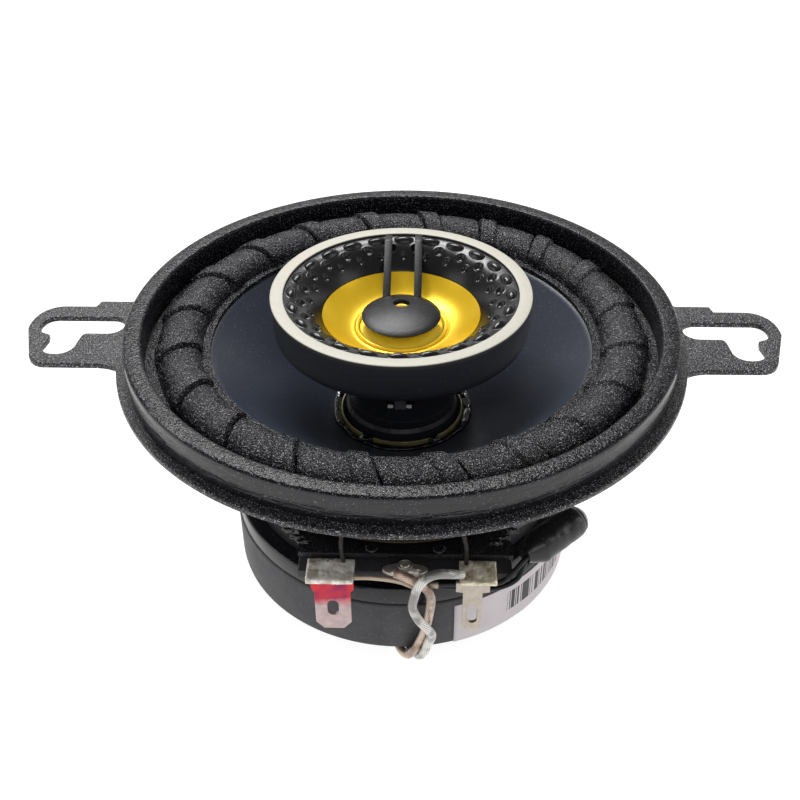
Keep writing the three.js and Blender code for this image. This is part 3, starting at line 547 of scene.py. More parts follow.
# Metals, films and a pale plastic by key: name, colour, roughness, metallic,
# two tones and the noise that mixes them, reliefs and wear as in Finish.skin
TWO_TONES = {
    "gold": (
        "gold", (0.82, 0.53, 0.014), 0.3, 0.5,
        (0.86, 0.57, 0.018), (0.78, 0.49, 0.010), (120, 3.0), [(0.01, 1800)], (0.26, 0.38, 250, 3.0),
    ),
    "film_gold": (
        "gold_film", (1.0, 0.72, 0.04), 0.2, 0.2,
        (1.0, 0.76, 0.05), (0.98, 0.66, 0.03), (200, 3.0), [(0.02, 1500)], None,
    ),
    "tin": (
        "tinned_steel", (0.52, 0.47, 0.40), 0.36, 0.8,
        (0.62, 0.57, 0.50), (0.34, 0.28, 0.22), (900, 4.0, 0.6),
        [(0.06, 900, 4.0)], (0.25, 0.5, 1100, 3.0),
    ),
    "zinc": (
        "zinc_steel", (0.50, 0.51, 0.52), 0.35, 0.9,
        (0.60, 0.61, 0.62), (0.36, 0.37, 0.38), (600, 4.0), [(0.03, 1200, 3.0)], None,
    ),
    "nickel": (
        "nickel", (0.66, 0.67, 0.70), 0.28, 0.9,
        (0.72, 0.73, 0.76), (0.5, 0.5, 0.54), (900, 3.0), [(0.02, 1500)], None,
    ),
    "film": (
        "former_film", (0.30, 0.25, 0.11), 0.3, 0.2,
        (0.36, 0.31, 0.15), (0.12, 0.09, 0.035), (400, 4.0), [(0.03, 900)], None,
    ),
    "white": (
        "white_clip", (0.75, 0.75, 0.74), 0.5, 0.0,
        (0.80, 0.80, 0.79), (0.62, 0.62, 0.62), (900,), [], None,
    ),
}


def table_finishes():
    """The finishes that the two tables describe."""
    made = {}
    for key, (name, color, roughness, level, specks, reliefs, wear) in COATINGS.items():
        made[key] = Finish(name, color, roughness, Specular_IOR_Level=level)
        if specks:
            # The pale specks are painted glints on the coating
            made[key].paint(painted_glints_and_specks(made[key], *specks))
        made[key].skin(reliefs, wear)
    made["plate"].put("Metallic", 0.1)
    for key, (name, color, roughness, metallic, first, second, mix, reliefs, wear) in TWO_TONES.items():
        made[key] = Finish(name, color, roughness, metallic)
        made[key].paint(made[key].blend(made[key].noise(*mix), first, second))
        made[key].skin(reliefs, wear)
    return made


# Pale specks painted on the powder coat as glints. They fade in from the windows' sill to half way up the
# legs, so the shaded lower bowl is left without them
PAINTED_GLINTS_FROM, PAINTED_GLINTS_FULL = 24.0, 34.0


def dark_finishes():
    """The basket's powder coat, the magnet's ferrite and the spider's cloth."""
    made = {}

    powder = Finish("powder_coat", (0.003, 0.003, 0.0045), 0.28, Specular_IOR_Level=0.35)
    height = powder.fade(powder.axes()[2], PAINTED_GLINTS_FROM * MM, PAINTED_GLINTS_FULL * MM)
    # Painted glints: pale specks, fewer lower down where the bowl is in shade
    painted_glints = powder.ramp(powder.noise(5600, 1.0), 0.60, 0.70)
    painted_glints = powder.math("MULTIPLY", painted_glints, height)
    powder.paint(powder.blend(painted_glints, powder.color, (0.44, 0.44, 0.47)))
    powder.bump(powder.noise(2800, 2.0, 0.6), 0.26)
    powder.bump(powder.noise(900, 1.0), 0.06)
    made["powder"] = powder

    ferrite = Finish("ferrite", (0.03, 0.03, 0.034), 0.55, Specular_IOR_Level=0.4)
    tones = (0.026, 0.026, 0.030), (0.050, 0.048, 0.052)
    mottle = ferrite.ramp(ferrite.noise(220, 6.0, 0.7), 0.3, 0.75, *tones)
    grey = ferrite.ramp(ferrite.noise(1800, 3.0), 0.55, 0.8)
    ferrite.paint(ferrite.blend(ferrite.math("MULTIPLY", grey, 0.3), mottle, (0.15, 0.15, 0.15)))
    ferrite.bump(ferrite.noise(900, 5.0, 0.6), 0.06)
    ferrite.wear(ferrite.noise(300, 3.0), 0.42, 0.68)
    made["ferrite"] = ferrite

    cloth = Finish("spider_cloth", (0.05, 0.034, 0.014), 0.9)
    threads = cloth.math("MULTIPLY", cloth.wave("X", 420), cloth.wave("Y", 420))
    cloth.paint(cloth.blend(threads, (0.035, 0.022, 0.008), (0.075, 0.05, 0.02)))
    cloth.bump(threads, 0.15)
    made["cloth"] = cloth
    return made


def metal_finishes():
    """Solder, the red painted blade and the copper windings."""
    made = {}

    for key, name, color, light, dark, high, depth in (
        ("solder", "solder", (0.62, 0.60, 0.56), (0.98, 0.95, 0.88), (0.46, 0.40, 0.32), 0.65, 0.7),
        ("yellow", "flux_solder", (0.6, 0.54, 0.40), (0.94, 0.86, 0.68), (0.36, 0.29, 0.17), 0.68, 0.6),
    ):
        solder = Finish(name, color, 0.24, 0.3)
        grain = solder.ramp(solder.noise(500, 3.0), 0.35, high)
        solder.paint(solder.blend(grain, light, dark))
        solder.bump(solder.noise(420, 3.0), depth)
        made[key] = solder

    painted = Finish("red_painted_tin", (0.6, 0.5, 0.45), 0.3, 0.4)
    # The paint covers the blade from a ragged line upwards, but not the foot behind it
    ragged = painted.math("MULTIPLY_ADD", painted.noise(450, 3.0), 0.0022, painted.axes()[2])
    above = painted.fade(ragged, 0.0186, 0.0206)
    coat = painted.ramp(painted.noise(500, 3.0), 0.35, 0.65)
    red = painted.blend(coat, (0.26, 0.006, 0.07), (0.60, 0.02, 0.03))
    bare = painted.blend(painted.noise(900, 4.0, 0.6), (0.62, 0.52, 0.50), (0.34, 0.22, 0.22))
    forward = painted.math("LESS_THAN", painted.axes()[1], -0.0326)
    cover = painted.math("MULTIPLY", above, forward)
    painted.paint(painted.blend(cover, bare, red))
    painted.bump(painted.noise(900, 4.0), 0.06)
    made["painted"] = painted

    copper = Finish("copper_winding", (0.62, 0.26, 0.10), 0.3, 1.0)
    turns = copper.wave("Z", 1500)
    copper.bump(turns, 0.08)
    copper.paint(copper.blend(turns, (0.40, 0.15, 0.06), (0.70, 0.32, 0.13)))
    made["copper"] = copper

    return made


def pale_finishes():
    """The trim ring, the label, and the sheet that the speaker stands on."""
    made = {}

    cream = Finish("trim_cream", (0.47, 0.45, 0.38), 0.5)
    # Only the top is pale. The height is scaled before the ramp, so that the step near 52.4 mm is sharp
    top = cream.ramp(cream.math("MULTIPLY_ADD", cream.axes()[2], 4000.0, -209.2), 0.35, 0.6)
    shade = painted_glints_and_specks(cream, 2600, 0.4, (0.40, 0.38, 0.31), 0.45, 0.7)
    cream.paint(cream.blend(top, (0.02, 0.02, 0.02), shade))
    cream.bump(cream.noise(2500, 3.0), 0.03)
    made["cream"] = cream

    paper = Finish("label_paper", (0.66, 0.60, 0.66), 0.5)
    bars_per_radian, pale_share = 150.0, 0.42
    x, y, z = paper.axes()
    angle = paper.math("ARCTAN2", y, x)
    number = paper.math("FLOOR", paper.math("MULTIPLY", angle, bars_per_radian))
    bar = paper.node("ShaderNodeTexWhiteNoise", {"W": number}, noise_dimensions="1D")
    mask = paper.math("GREATER_THAN", bar.outputs["Value"], pale_share)
    for source, low, high in ((angle, radians(-52.5), radians(-22)), (z, 0.0058, 0.0101)):
        mask = paper.math("MULTIPLY", mask, paper.math("GREATER_THAN", source, low))
        mask = paper.math("MULTIPLY", mask, paper.math("LESS_THAN", source, high))
    sheet = paper.blend(paper.noise(300, 3.0), (0.55, 0.50, 0.52), (0.44, 0.40, 0.42))
    paper.paint(paper.blend(mask, sheet, (0.02, 0.02, 0.022)))
    paper.bump(paper.noise(900, 4.0), 0.02)
    made["paper"] = paper

    studio = Finish("studio_paper", (0.35, 0.35, 0.35), 0.9, Specular_IOR_Level=0.0)
    studio.put("Emission Color", (1.0, 1.0, 1.0, 1.0))
    studio.put("Emission Strength", 0.88)
    made["studio"] = studio
    return made


def sleeved_wire():
    """Tinned wire that goes into black sleeving on its way to the capacitor."""
    wire = Finish("sleeved_wire", (0.45, 0.40, 0.33), 0.35, 0.5)
    sleeved = wire.fade(wire.axes()[0], 0.0060, 0.0063)
    bare = wire.blend(wire.noise(900, 3.0), (0.55, 0.46, 0.36), (0.30, 0.22, 0.16))
    wire.paint(wire.blend(sleeved, bare, (0.004, 0.004, 0.0045)))
    wire.bump(wire.noise(900, 3.0), 0.03)
    return wire


def strand_finishes():
    """Fine twisted strands: two leads in clear jackets, and the tinsel braid. Each strand is painted lighter
    at its crest and darker between strands, as painted light and shade, and darker patches are painted
    streaks of reflection.
    """
    made = {"sleeved": sleeved_wire()}
    for name, light, dark, jacket, count, twist_rate in (
        ("silver_strands", (0.80, 0.78, 0.72), (0.10, 0.095, 0.085), 1.0, 14.0, 0.9),
        ("copper_strands", (0.76, 0.57, 0.43), (0.15, 0.085, 0.05), 1.0, 14.0, 0.9),
        ("braid", (0.03, 0.022, 0.016), (0.008, 0.006, 0.005), 0.0, 6.0, 1.6),
    ):
        strands = Finish(name, light, 0.3, 0.3, Coat_Weight=jacket, Coat_Roughness=0.06)
        along = strands.node("ShaderNodeUVMap", uv_map="along")
        across, run, _ = strands.axes(along.outputs["UV"])
        around = strands.math("MULTIPLY", across, count)
        twist = strands.math("ADD", around, strands.math("MULTIPLY", run, twist_rate))
        ridge = strands.math("MULTIPLY", strands.math("PINGPONG", twist, 0.5), 2.0)
        # Painted light and shade across each strand: light at its crest, a darker shade between strands
        soft = tuple(0.35 * a + 0.65 * b for a, b in zip(light, dark))
        painted_strand_shading = strands.blend(ridge, soft, light)
        # Painted dark streaks that stand in for reflections
        painted_streaks = strands.ramp(strands.noise(330, 2.0), 0.42, 0.56)
        strands.paint(strands.blend(strands.math("MULTIPLY", painted_streaks, 0.85), painted_strand_shading, dark))
        strands.bump(ridge, 0.025)
        strands.bump(strands.noise(420, 2.0), 0.1)
        made[name] = strands
    return made


def make_finishes():
    made = {}
    groups = (table_finishes(), dark_finishes(), metal_finishes(), pale_finishes(), strand_finishes())
    for group in groups:
        for key, value in group.items():
            made[key] = value.material
    return made


FINISH = make_finishes()

# ---- motor


def back_plate():
    """The plate and pole in one turned steel piece, with the leads' groove cut in its back."""
    profile = [(3.2, 3.35), (4.9, 3.35, 0), (4.9, 0), (25.6, 0, 0.4), (25.6, 3.0, 0.2)]
    profile += [(9.2, 3.0), (9.2, 16.6, 0.4), (3.2, 16.6)]
    obj = turned("back_plate_and_pole", profile, "plate")
    carve(obj, [cutter("groove", (-2.5, -27, -1), (2.5, 0, 2.2))])
    shade(obj.data)
    return obj


give(back_plate(), "frame", "dark_steel", "t_yoke")

MAGNET = [(14.5, 3.05), (28.6, 3.05, 0.5), (28.6, 12.8, 0.5), (14.5, 12.8)]
TOP_PLATE = [(11.1, 12.85), (28.4, 12.85, 0.3), (28.4, 16.2, 0.5), (11.1, 16.2)]

give(turned("magnet", MAGNET, "ferrite", 0.3), "frame", "ferrite", "magnet_ring")
give(turned("top_plate_ring", TOP_PLATE, "plate", 0.3), "frame", "dark_steel", "top_plate")


def paper_label():
    """A thin sheet that follows the magnet's side."""
    points = []
    steps, first, sweep = 60, -72, 90
    heights = (3.3, 3.6, 6.0, 8.7, 11.4, 11.65)
    for i in range(steps + 1):
        angle = radians(first + sweep * i / steps)
        for z in heights:
            r = 28.66 + 0.05 * noise.noise(Vector((angle * 6, z * 0.3, 2.0)))
            points.append(polar(r, angle, z))
    obj = from_lists("paper_label", points, sheet_faces(steps + 1, len(heights)), "paper")
    thick = obj.modifiers.new("paper", "SOLIDIFY")
    thick.thickness = 0.12 * MM
    thick.offset = 1.0
    return obj


give(paper_label(), "frame", "paper", "label")

# ---- basket

BOWL = [
    (13.0, 16.2), (26.2, 16.2, 0.9), (26.2, 23.4, 0.5), (28.8, 23.4, 0.5), (36.4, 40.0, 0),
    (37.2, 41.6, 1.2), (37.6, 42.6, 0.3), (44.6, 42.6, 0.25), (44.6, 43.55, 0.3), (37.0, 43.55, 0.6),
    (36.2, 41.4, 1.0), (35.6, 40.0, 0), (28.3, 24.2, 0.5), (25.4, 24.2, 0.6), (25.4, 17.0, 0.6),
    (13.0, 17.0),
]
# Heights of the windows' lower and upper edges
SILL, LINTEL = 24.2, 40.4


def window_cutters():
    """The four windows between the bowl's legs, and a trim of the shelf's front edge."""
    made = [cutter("window_front", (-14.9, -46, SILL), (17.3, -20.8, LINTEL))]
    made.append(cutter("window_back", (-14.5, 20.8, SILL), (14.5, 46, LINTEL)))
    made.append(cutter("window_right", (20.8, -14.5, SILL), (46, 14.5, LINTEL)))
    made.append(cutter("window_left", (-46, -14.5, SILL), (-20.8, 14.5, LINTEL)))
    made.append(cutter("front_trim", (-14.9, -31.6, 22.9), (17.3, -28.6, 24.8)))
    return made


def tab_sheet(side):
    """One mounting tab with its screw slot."""
    outline = [(38.0, -13.0), (40.4, -11.6)]
    outline += curved((40.4, -11.6), (43.4, -8.0), (46.9, -7.8))
    outline += curved((55.0, -7.8), (57.8, -7.8), (58.5, -4.6), 10)
    outline += curved((60.5, 1.4), (60.9, 4.6), (59.6, 6.8), 8)
    outline += curved((59.6, 6.8), (58.2, 8.8), (55.8, 8.8), 8)
    outline += [(51.1, 8.8), (50.6, 10.4), (45.6, 10.4)]
    outline += curved((45.6, 10.4), (43.8, 10.4), (40.8, 13.0))
    hole = [(47.4, 0.75), (50.7, 0.75)]
    hole += curved((50.7, 0.75), (51.3, 0.55), (51.4, -0.35))
    hole += [(51.7, -3.1)]
    hole += curved((51.7, -3.1), (52.3, -5.1), (54.4, -5.1))
    hole += curved((54.4, -5.1), (56.7, -4.9), (56.7, -3.0))
    hole += [(56.3, -0.95), (56.5, 0.3), (57.7, 0.85)]
    hole += curved((57.7, 0.85), (58.6, 1.55), (58.6, 2.75))
    hole += curved((58.6, 2.75), (58.5, 5.45), (56.2, 5.45))
    hole += arc(47.4, 3.1, 2.35, 90, 270, 14)[:-1]
    if side < 0:
        outline = [(-x, y) for x, y in reversed(outline)]
        hole = [(-x, y) for x, y in reversed(hole)]
    name = "tab_right" if side > 0 else "tab_left"
    return cut_sheet(name, outline, [hole], 42.62, 43.53, "powder", 0.16)


def basket_sheet():
    bowl = turned("basket_sheet", BOWL, "powder", 0.25)
    shelf = cutter("shelf", (-14.85, -28.6, 23.4), (17.25, -25.6, SILL))
    carve(bowl, [shelf], "UNION")
    carve(bowl, window_cutters())
    bowl.data.materials.clear()
    bowl.data.materials.append(FINISH["powder"])
    soften_edges(bowl, 0.16)
    return join("basket_sheet", [bowl, tab_sheet(1), tab_sheet(-1)])


give(basket_sheet(), "frame", "powder_coat", "basket")

# Drops of adhesive in the two lower corners of the front window, from the sill up the leg
CORNER_GLUE = {
    "left": [(-14.1, -26.7, 24.6), (-15.2, -26.4, 25.3), (-16.3, -26.1, 26.4)],
    "right": [(14.7, -26.6, 24.7), (15.9, -26.4, 25.7), (17.1, -26.2, 27.0)],
}
for side, spots in CORNER_GLUE.items():
    for number, spot in enumerate(spots):
        name = f"corner_glue_{side}_{number}"
        drop = blob(name, spot, (0.95, 0.42, 0.38), "glue", 2.0 * number + spot[0], 0.35, 0.5)
        give(drop, "frame", "pod_plastic")


def gasket():
    """The raised ring: grained on top, glossy on its outer wall."""

    def uneven(angle, r, z):
        return (0.05 * sin(5 * angle + 1) if r > 42.5 else 0.0, 0.0)

    profile = [(40.1, 43.6), (43.0, 43.6, 0.2), (43.0, 48.3, 0.55), (40.1, 48.3, 0.5)]
    obj = turned("gasket", profile, "rubber", 0.3, 256, uneven)
    obj.data.materials.append(FINISH["gloss"])
    for face in obj.data.polygons:
        if abs(face.normal.z) < 0.35 and Vector(face.center[:2]).length > 42.5 * MM:
            face.material_index = 1
    return obj


give(gasket(), "frame", "gasket", "gasket_ring")

# ---- surround, cone and coil

RIBS = 20
RIB_PHASE = 11.0
RIB_SLANT = 5.0
ROLL_IN, ROLL_OUT = 31.3, 38.3


def rib_height(degrees):
    """Height of the surround's relief at an angle past a crease: bulge, raised band, then the crease."""
    pitch = 360.0 / RIBS
    u = (degrees % pitch) / pitch
    crease = 0.55 * math.exp(-((min(u, 1 - u) / 0.016) ** 2))
    bulge = 0.16 * sin(pi * min(u / 0.72, 1.0))
    rise = clamp((u - 0.66) / 0.07)
    fall = clamp((1.0 - u) / 0.03)
    band = 0.6 * rise * rise * (3 - 2 * rise) * fall
    return bulge + band - crease


def surround_skin():
    """A ribbed half roll between two lips."""
    across, around = 44, 1440
    section = []
    for i in range(5):
        section.append((30.0 + 1.3 * i / 4, 44.2, 0.0, 1.0))
    for i in range(1, across):
        t = i / across
        turn = pi * (1 - t)
        r = 34.8 + 3.5 * cos(turn)
        z = 43.85 + 3.05 * sin(turn) ** 0.9
        section.append((r, z, cos(turn), sin(turn)))
    for i in range(4):
        section.append((38.3 + 1.45 * i / 3, 44.15, 0.0, 1.0))
    points = []
    for r, z, nr, nz in section:
        t = (r - ROLL_IN) / (ROLL_OUT - ROLL_IN)
        fade = clamp(t / 0.05, 0.15, 1.0) * clamp((1 - t) / 0.05, 0.1, 1.0)
        for k in range(around):
            angle = 360.0 * k / around
            h = fade * rib_height(angle - RIB_PHASE - RIB_SLANT * t)
            points.append(polar(r + nr * h, radians(angle), z + nz * h))
    under = [(39.75, 43.62), (38.0, 43.62), (37.6, 44.4), (36.0, 46.0), (34.8, 46.2)]
    under += [(33.6, 46.0), (32.0, 44.4), (31.4, 43.62), (30.0, 43.62)]
    points += rings(under, around)
    faces = closed_faces(len(section) + len(under), around)
    return from_lists("surround_skin", points, faces, "foam", 60.0)


def follow_cone(obj):
    """Bakes obj's placement into its mesh."""
    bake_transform(obj)


SURROUND = surround_skin()
follow_cone(SURROUND)
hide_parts("surround")


CONE_NECK, CONE_RIM = 10.2, 29.8


def cone_height(r):
    """Height of the cone's face: almost straight, a little steeper towards the rim."""
    share = (r - CONE_NECK) / (CONE_RIM - CONE_NECK)
    return 29.0 + 14.5 * max(share, 0.0) ** 1.05


def cone_skin():
    face, back = [], []
    steps = 40
    for i in range(steps + 1):
        r = CONE_NECK + (CONE_RIM - CONE_NECK) * i / steps
        face.append((r, cone_height(r), 0))
        back.append((r + 0.2 * min(i, 1), cone_height(r) - 0.45, 0))
    rim = [(30.9, 43.0, 0.1), (31.2, 43.55, 0.15), (30.6, 43.75, 0.2), (30.1, 43.55, 0.2)]
    return turned("cone_skin", [*back, *rim, *reversed(face)], "poly", 0.1, 256)


def neck_glue():
    """A bead of shiny adhesive where the cone meets the former, with an uneven edge."""

    def uneven(angle, r, z):
        away = Vector((cos(angle) * 2.2, sin(angle) * 2.2, 0.0))
        wave = noise.noise(away * 1.2) + 0.5 * noise.noise(away * 3.1)
        return (0.5 * wave if r > 10.8 else 0.0, 0.16 * wave if z > 29.4 else 0.0)

    profile = [(10.08, 29.05), (10.5, 29.0, 0), (11.5, 29.85, 0.3)]
    profile += [(11.4, 30.25, 0.4), (10.9, 30.25, 0.4), (10.08, 29.9)]
    return turned("neck_glue", profile, "glue", 0.2, 256, uneven)


give(cone_skin(), "cone", "poly_cone", "cone")
give(neck_glue(), "cone", "poly_cone")
FORMER = [(9.8, 11.0), (10.05, 11.0), (10.05, 30.4, 0.05), (9.8, 30.4, 0.05)]
give(turned("coil_former", FORMER, "film", 0.03), "cone", "former", "voice_coil_former")
GLUE_SPOTS = ((-58, 1.0), (-122, 1.15), (20, 0.8), (140, 0.9))
for number, (degrees, size) in enumerate(GLUE_SPOTS):
    spot = polar(10.35, radians(degrees), 30.15)
    spread = (1.0 * size, 0.8 * size, 0.62 * size)
    drop = blob(f"glue_spot_{number}", spot, spread, "glue", 3.0 * number + 1)
    give(drop, "cone", "poly_cone")


def spider_cloth():
    """Cloth in five even waves, glued to the former inside and to the shelf outside."""
    face, back = [], []
    steps, waves = 80, 5
    for i in range(steps + 1):
        r = 10.2 + 14.8 * i / steps
        wave = 0.52 * (0.5 - 0.5 * cos(2 * pi * waves * i / steps))
        face.append((r, 25.15 + wave + 0.3, 0))
        back.append((r, 25.15 + wave, 0))
    foot = [(25.4, 24.3, 0.2), (26.5, 24.3, 0.1), (26.5, 24.65, 0.1), (25.6, 24.65, 0.2)]
    return turned("spider_cloth", [*back, *foot, *reversed(face)], "cloth", 0.1)


SPIDER = spider_cloth()
follow_cone(SPIDER)
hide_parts("spider")

# ---- terminals


# Heights of the sheet that the terminals' feet and the lug are cut from
FOOT_UNDER, FOOT_TOP = 22.35, 22.95


def slot_hole(x, low, high, radius):
    return arc(x, high, radius, 0, 180, 12) + arc(x, low, radius, 180, 360, 12)


def board():
    """Fibre sheet with a straight front edge and a back edge that follows the bowl."""
    start = -90 + math.degrees(math.asin(17.2 / 26.7))
    end = -90 - math.degrees(math.asin(14.8 / 26.7))
    outline = [(-14.8, -30.5), (17.2, -30.5)] + arc(0, 0, 26.7, start, end, 24)
    return cut_sheet("board", outline, [], 20.8, 22.3, "board", 0.12)


give(board(), "frame", "fibre_board", "terminal_board")


def folded(name, blade, hole, x, width, finish):
    """A terminal: an upright blade and a flat foot, joined as one piece."""
    upright = cut_sheet(name, blade, [hole], 0.0, 0.6, finish, 0.09, upright_y=-33.2)
    left, right, front, back = x - width / 2, x + width / 2, -32.9, -28.6
    foot = [(left, front), (right, front), (right, back), (left, back)]
    flat = cut_sheet(name + "_foot", foot, [], FOOT_UNDER, FOOT_TOP, finish, 0.09)
    return join(name, [upright, flat])


POSITIVE_BLADE = [
    (-11.0, 12.8), (-8.0, 12.8), (-6.8, 14.2), (-6.8, 20.6), (-6.3, 21.2), (-6.3, 22.9),
    (-12.7, 22.9), (-12.7, 21.8), (-12.2, 20.4), (-12.2, 14.2),
]
NEGATIVE_BLADE = arc(11.25, 14.25, 1.45, 180, 360, 14) + [
    (12.7, 20.9), (13.75, 21.1), (13.75, 22.9), (8.75, 22.9), (8.75, 21.1), (9.8, 20.9),
]
POSITIVE_HOLE = slot_hole(-9.5, 16.6, 18.0, 0.85)
NEGATIVE_HOLE = slot_hole(11.25, 15.2, 17.4, 0.75)
positive = folded("positive_blade", POSITIVE_BLADE, POSITIVE_HOLE, -9.85, 7.1, "painted")
give(positive, "frame", "painted_tin", "positive_terminal")
negative = folded("negative_blade", NEGATIVE_BLADE, NEGATIVE_HOLE, 12.0, 5.5, "tin")
give(negative, "frame", "tin", "negative_terminal")

# Lengths of solder over a foot's flat and round its fold
REACH_FLAT, REACH_FOLD = 4.3, 0.6


def solder_patch(name, x0, x1, finish, seed, front_drop):
    """Lumpy solder laid over a terminal's foot and down over its fold."""
    points = []
    columns, rows = 40, 26
    for i in range(columns + 1):
        for k in range(rows + 1):
            u, v = i / columns, k / rows
            x = x0 + (x1 - x0) * u
            edge = sin(pi * u) ** 0.3 * sin(pi * v) ** 0.35
            lump = 0.5 + 0.5 * noise.noise(Vector((x * 0.9 + seed, v * 3.0, 0.0)))
            lump += 0.3 * noise.noise(Vector((x * 2.2, v * 7.0 + seed, 1.0)))
            lift = edge * (0.18 + 0.55 * max(lump, 0.0))
            reach = v * (REACH_FLAT + REACH_FOLD + front_drop)
            if reach < REACH_FLAT:
                place = (x, -28.7 - reach, FOOT_TOP + lift)
            elif reach < REACH_FLAT + REACH_FOLD:
                turn = (reach - REACH_FLAT) / REACH_FOLD * pi / 2
                place = (x, -33.0 - (0.22 + lift) * sin(turn), 22.75 + (0.2 + lift) * cos(turn))
            else:
                place = (x, -33.22 - lift, 22.75 - (reach - REACH_FLAT - REACH_FOLD))
            points.append(place)
    obj = from_lists(name, points, sheet_faces(columns + 1, rows + 1), finish, 80.0)
    thick = obj.modifiers.new("body", "SOLIDIFY")
    thick.thickness = 0.12 * MM
    return obj


give(solder_patch("solder_positive", -13.35, -6.4, "solder", 2.0, 0.2), "frame", "tin")
give(solder_patch("solder_negative", 9.3, 14.7, "yellow", 7.0, 0.05), "frame", "tin")


def lug():
    """An oval lug, with the rolled eyelet that holds it."""
    outline = []
    for k in range(48):
        a = k / 24 * pi
        outline.append((1.2 + 3.4 * cos(a), -30.4 + 1.25 * sin(a)))
    plate = cut_sheet("lug_plate", outline, [], FOOT_UNDER, FOOT_TOP, "tin", 0.12)
    ring_profile = [(0.85, 22.95), (1.15, 22.95, 0.1), (1.1, 23.15, 0.15), (0.9, 23.2, 0.12)]
    eyelet = turned("eyelet", ring_profile, "tin", 0.1, 48)
    eyelet.data.transform(Matrix.Translation((1.2 * MM, -29.75 * MM, 0)))
    return join("lug_plate", [plate, eyelet])


give(lug(), "frame", "tin", "solder_lug")
LUG_DROP = blob("solder_lug_drop", (1.5, -31.0, 22.95), (2.0, 0.7, 0.42), "solder", 5.0, 0.3)
give(LUG_DROP, "frame", "tin")


def rivet_head(name, x, y, radius, foot, finish):
    """A domed head with a dimple on top, and a rolled tail underneath."""
    head = [(0, foot - 0.1), (radius, foot - 0.1), (radius, foot + 0.2, 0.2)]
    head += [(radius * 0.6, foot + 0.45, 0.2), (radius * 0.3, foot + 0.3, 0.1), (0, foot + 0.25)]
    tail = [(0, 20.15), (radius * 0.7, 20.15, 0.2), (radius, 20.45, 0.2), (radius, 20.75, 0.1)]
    tail += [(0, 20.85)]
    top = turned(name, head, finish, 0.1, 40)
    bottom = turned(name + "_tail", tail, finish, 0.1, 40)
    for part in (top, bottom):
        part.data.transform(Matrix.Translation((x * MM, y * MM, 0)))
    return join(name, [top, bottom])


RIVETS = (
    ("positive", -9.85, -29.6, 0.85, 23.0, "tin", "tin"),
    ("negative", 12.0, -29.6, 0.85, 23.0, "tin", "tin"),
    ("lug", 1.2, -29.75, 0.8, 23.0, "tin", "tin"),
    ("board_left", -3.85, -27.5, 1.0, 24.25, "plate", "dark_steel"),
    ("board_right", 6.25, -27.5, 1.0, 24.25, "plate", "dark_steel"),
)
for which, x, y, radius, foot, finish, slot_name in RIVETS:
    piece = rivet_head("rivet_head_" + which, x, y, radius, foot, finish)
    give(piece, "frame", slot_name, "rivet_" + which)

# ---- capacitor

CAP_FROM, CAP_TO = Vector((18.9, -29.3, 24.8)), Vector((28.0, -21.5, 26.0))


def sleeve():
    """Heat-shrink over the capacitor: plump and round at one end, pinched flat at the wires."""
    way = CAP_TO - CAP_FROM
    length = way.length
    line = [CAP_FROM + way * (k / 48) for k in range(49)]

    def girth(run, whole, angle):
        t = run / whole
        pinch = 0.52 + 0.48 * clamp((t - 0.02) / 0.2) ** 0.8
        end = clamp((length - run) / 2.6)
        round_end = math.sqrt(max(1 - (1 - end) ** 2, 0.02))
        fold = 1.0 - 0.16 * max(0.0, 1 - t * 4.5) * (0.5 + 0.5 * cos(2 * angle))
        crease = 0.04 * noise.noise(Vector((t * 9, cos(angle) * 1.5, sin(angle) * 1.5)))
        return pinch * round_end * fold + crease * min(1.0, t * 6)

    return tube("sleeve", line, 2.55, "shrink", 40, girth)


give(sleeve(), "frame", "heat_shrink", "capacitor_sleeve")

# ---- wiring

WIRE_TO_LUG = [
    (20.4, -27.6, 24.5), (18.9, -29.6, 23.6), (17.9, -30.9, 21.8), (15.5, -31.2, 20.2),
    (12.5, -31.0, 19.6), (9.0, -30.7, 19.5), (5.8, -30.6, 19.6), (3.8, -30.9, 20.6),
    (3.0, -31.0, 21.85),
]
WIRE_TO_POSITIVE = [
    (20.7, -28.2, 25.3), (18.8, -30.2, 25.0), (17.2, -31.3, 23.6), (15.4, -31.8, 21.9),
    (12.0, -31.7, 21.3), (8.0, -31.7, 21.2), (4.5, -31.6, 20.8), (2.6, -31.7, 20.6),
    (0.3, -31.4, 21.3), (-3.9, -31.3, 21.9), (-6.9, -31.3, 21.85),
]
NEGATIVE_LEAD = [
    (9.6, -32.2, 23.75), (7.8, -33.3, 25.0), (5.9, -34.2, 25.8), (4.5, -34.8, 25.7),
    (3.3, -34.8, 23.9), (2.6, -34.3, 20.9), (2.4, -33.7, 18.1), (3.2, -33.3, 15.2),
    (4.4, -33.2, 13.3), (5.3, -32.5, 10.9), (4.8, -31.2, 7.4), (4.1, -30.5, 4.4),
    (3.2, -29.0, 1.9), (1.7, -26.4, 1.15), (1.1, -22.0, 1.1), (0.85, -4.0, 1.1),
    (0.85, -1.2, 1.8), (0.85, -0.1, 4.0), (0.85, 0.0, 12.0), (0.85, 0.0, 28.0),
    (1.6, 0.0, 33.0), (2.0, 0.0, 36.0),
]
POSITIVE_LEAD = [
    (-0.3, -32.2, 23.9), (1.2, -32.4, 23.3), (2.8, -32.7, 22.6), (4.3, -32.8, 21.4),
    (5.1, -32.3, 18.7), (5.0, -31.7, 15.6), (4.7, -30.9, 12.2), (4.2, -30.3, 9.2),
    (3.6, -29.9, 6.6), (2.6, -29.9, 4.2), (1.5, -29.1, 2.1), (0.2, -26.9, 1.2),
    (-0.5, -23.0, 1.1), (-0.85, -15.0, 1.1), (-0.85, -4.0, 1.1), (-0.85, -1.2, 1.8),
    (-0.85, -0.1, 4.0), (-0.85, 0.0, 12.0), (-0.85, 0.0, 28.0), (-1.6, 0.0, 33.0),
    (-2.0, 0.0, 36.0),
]
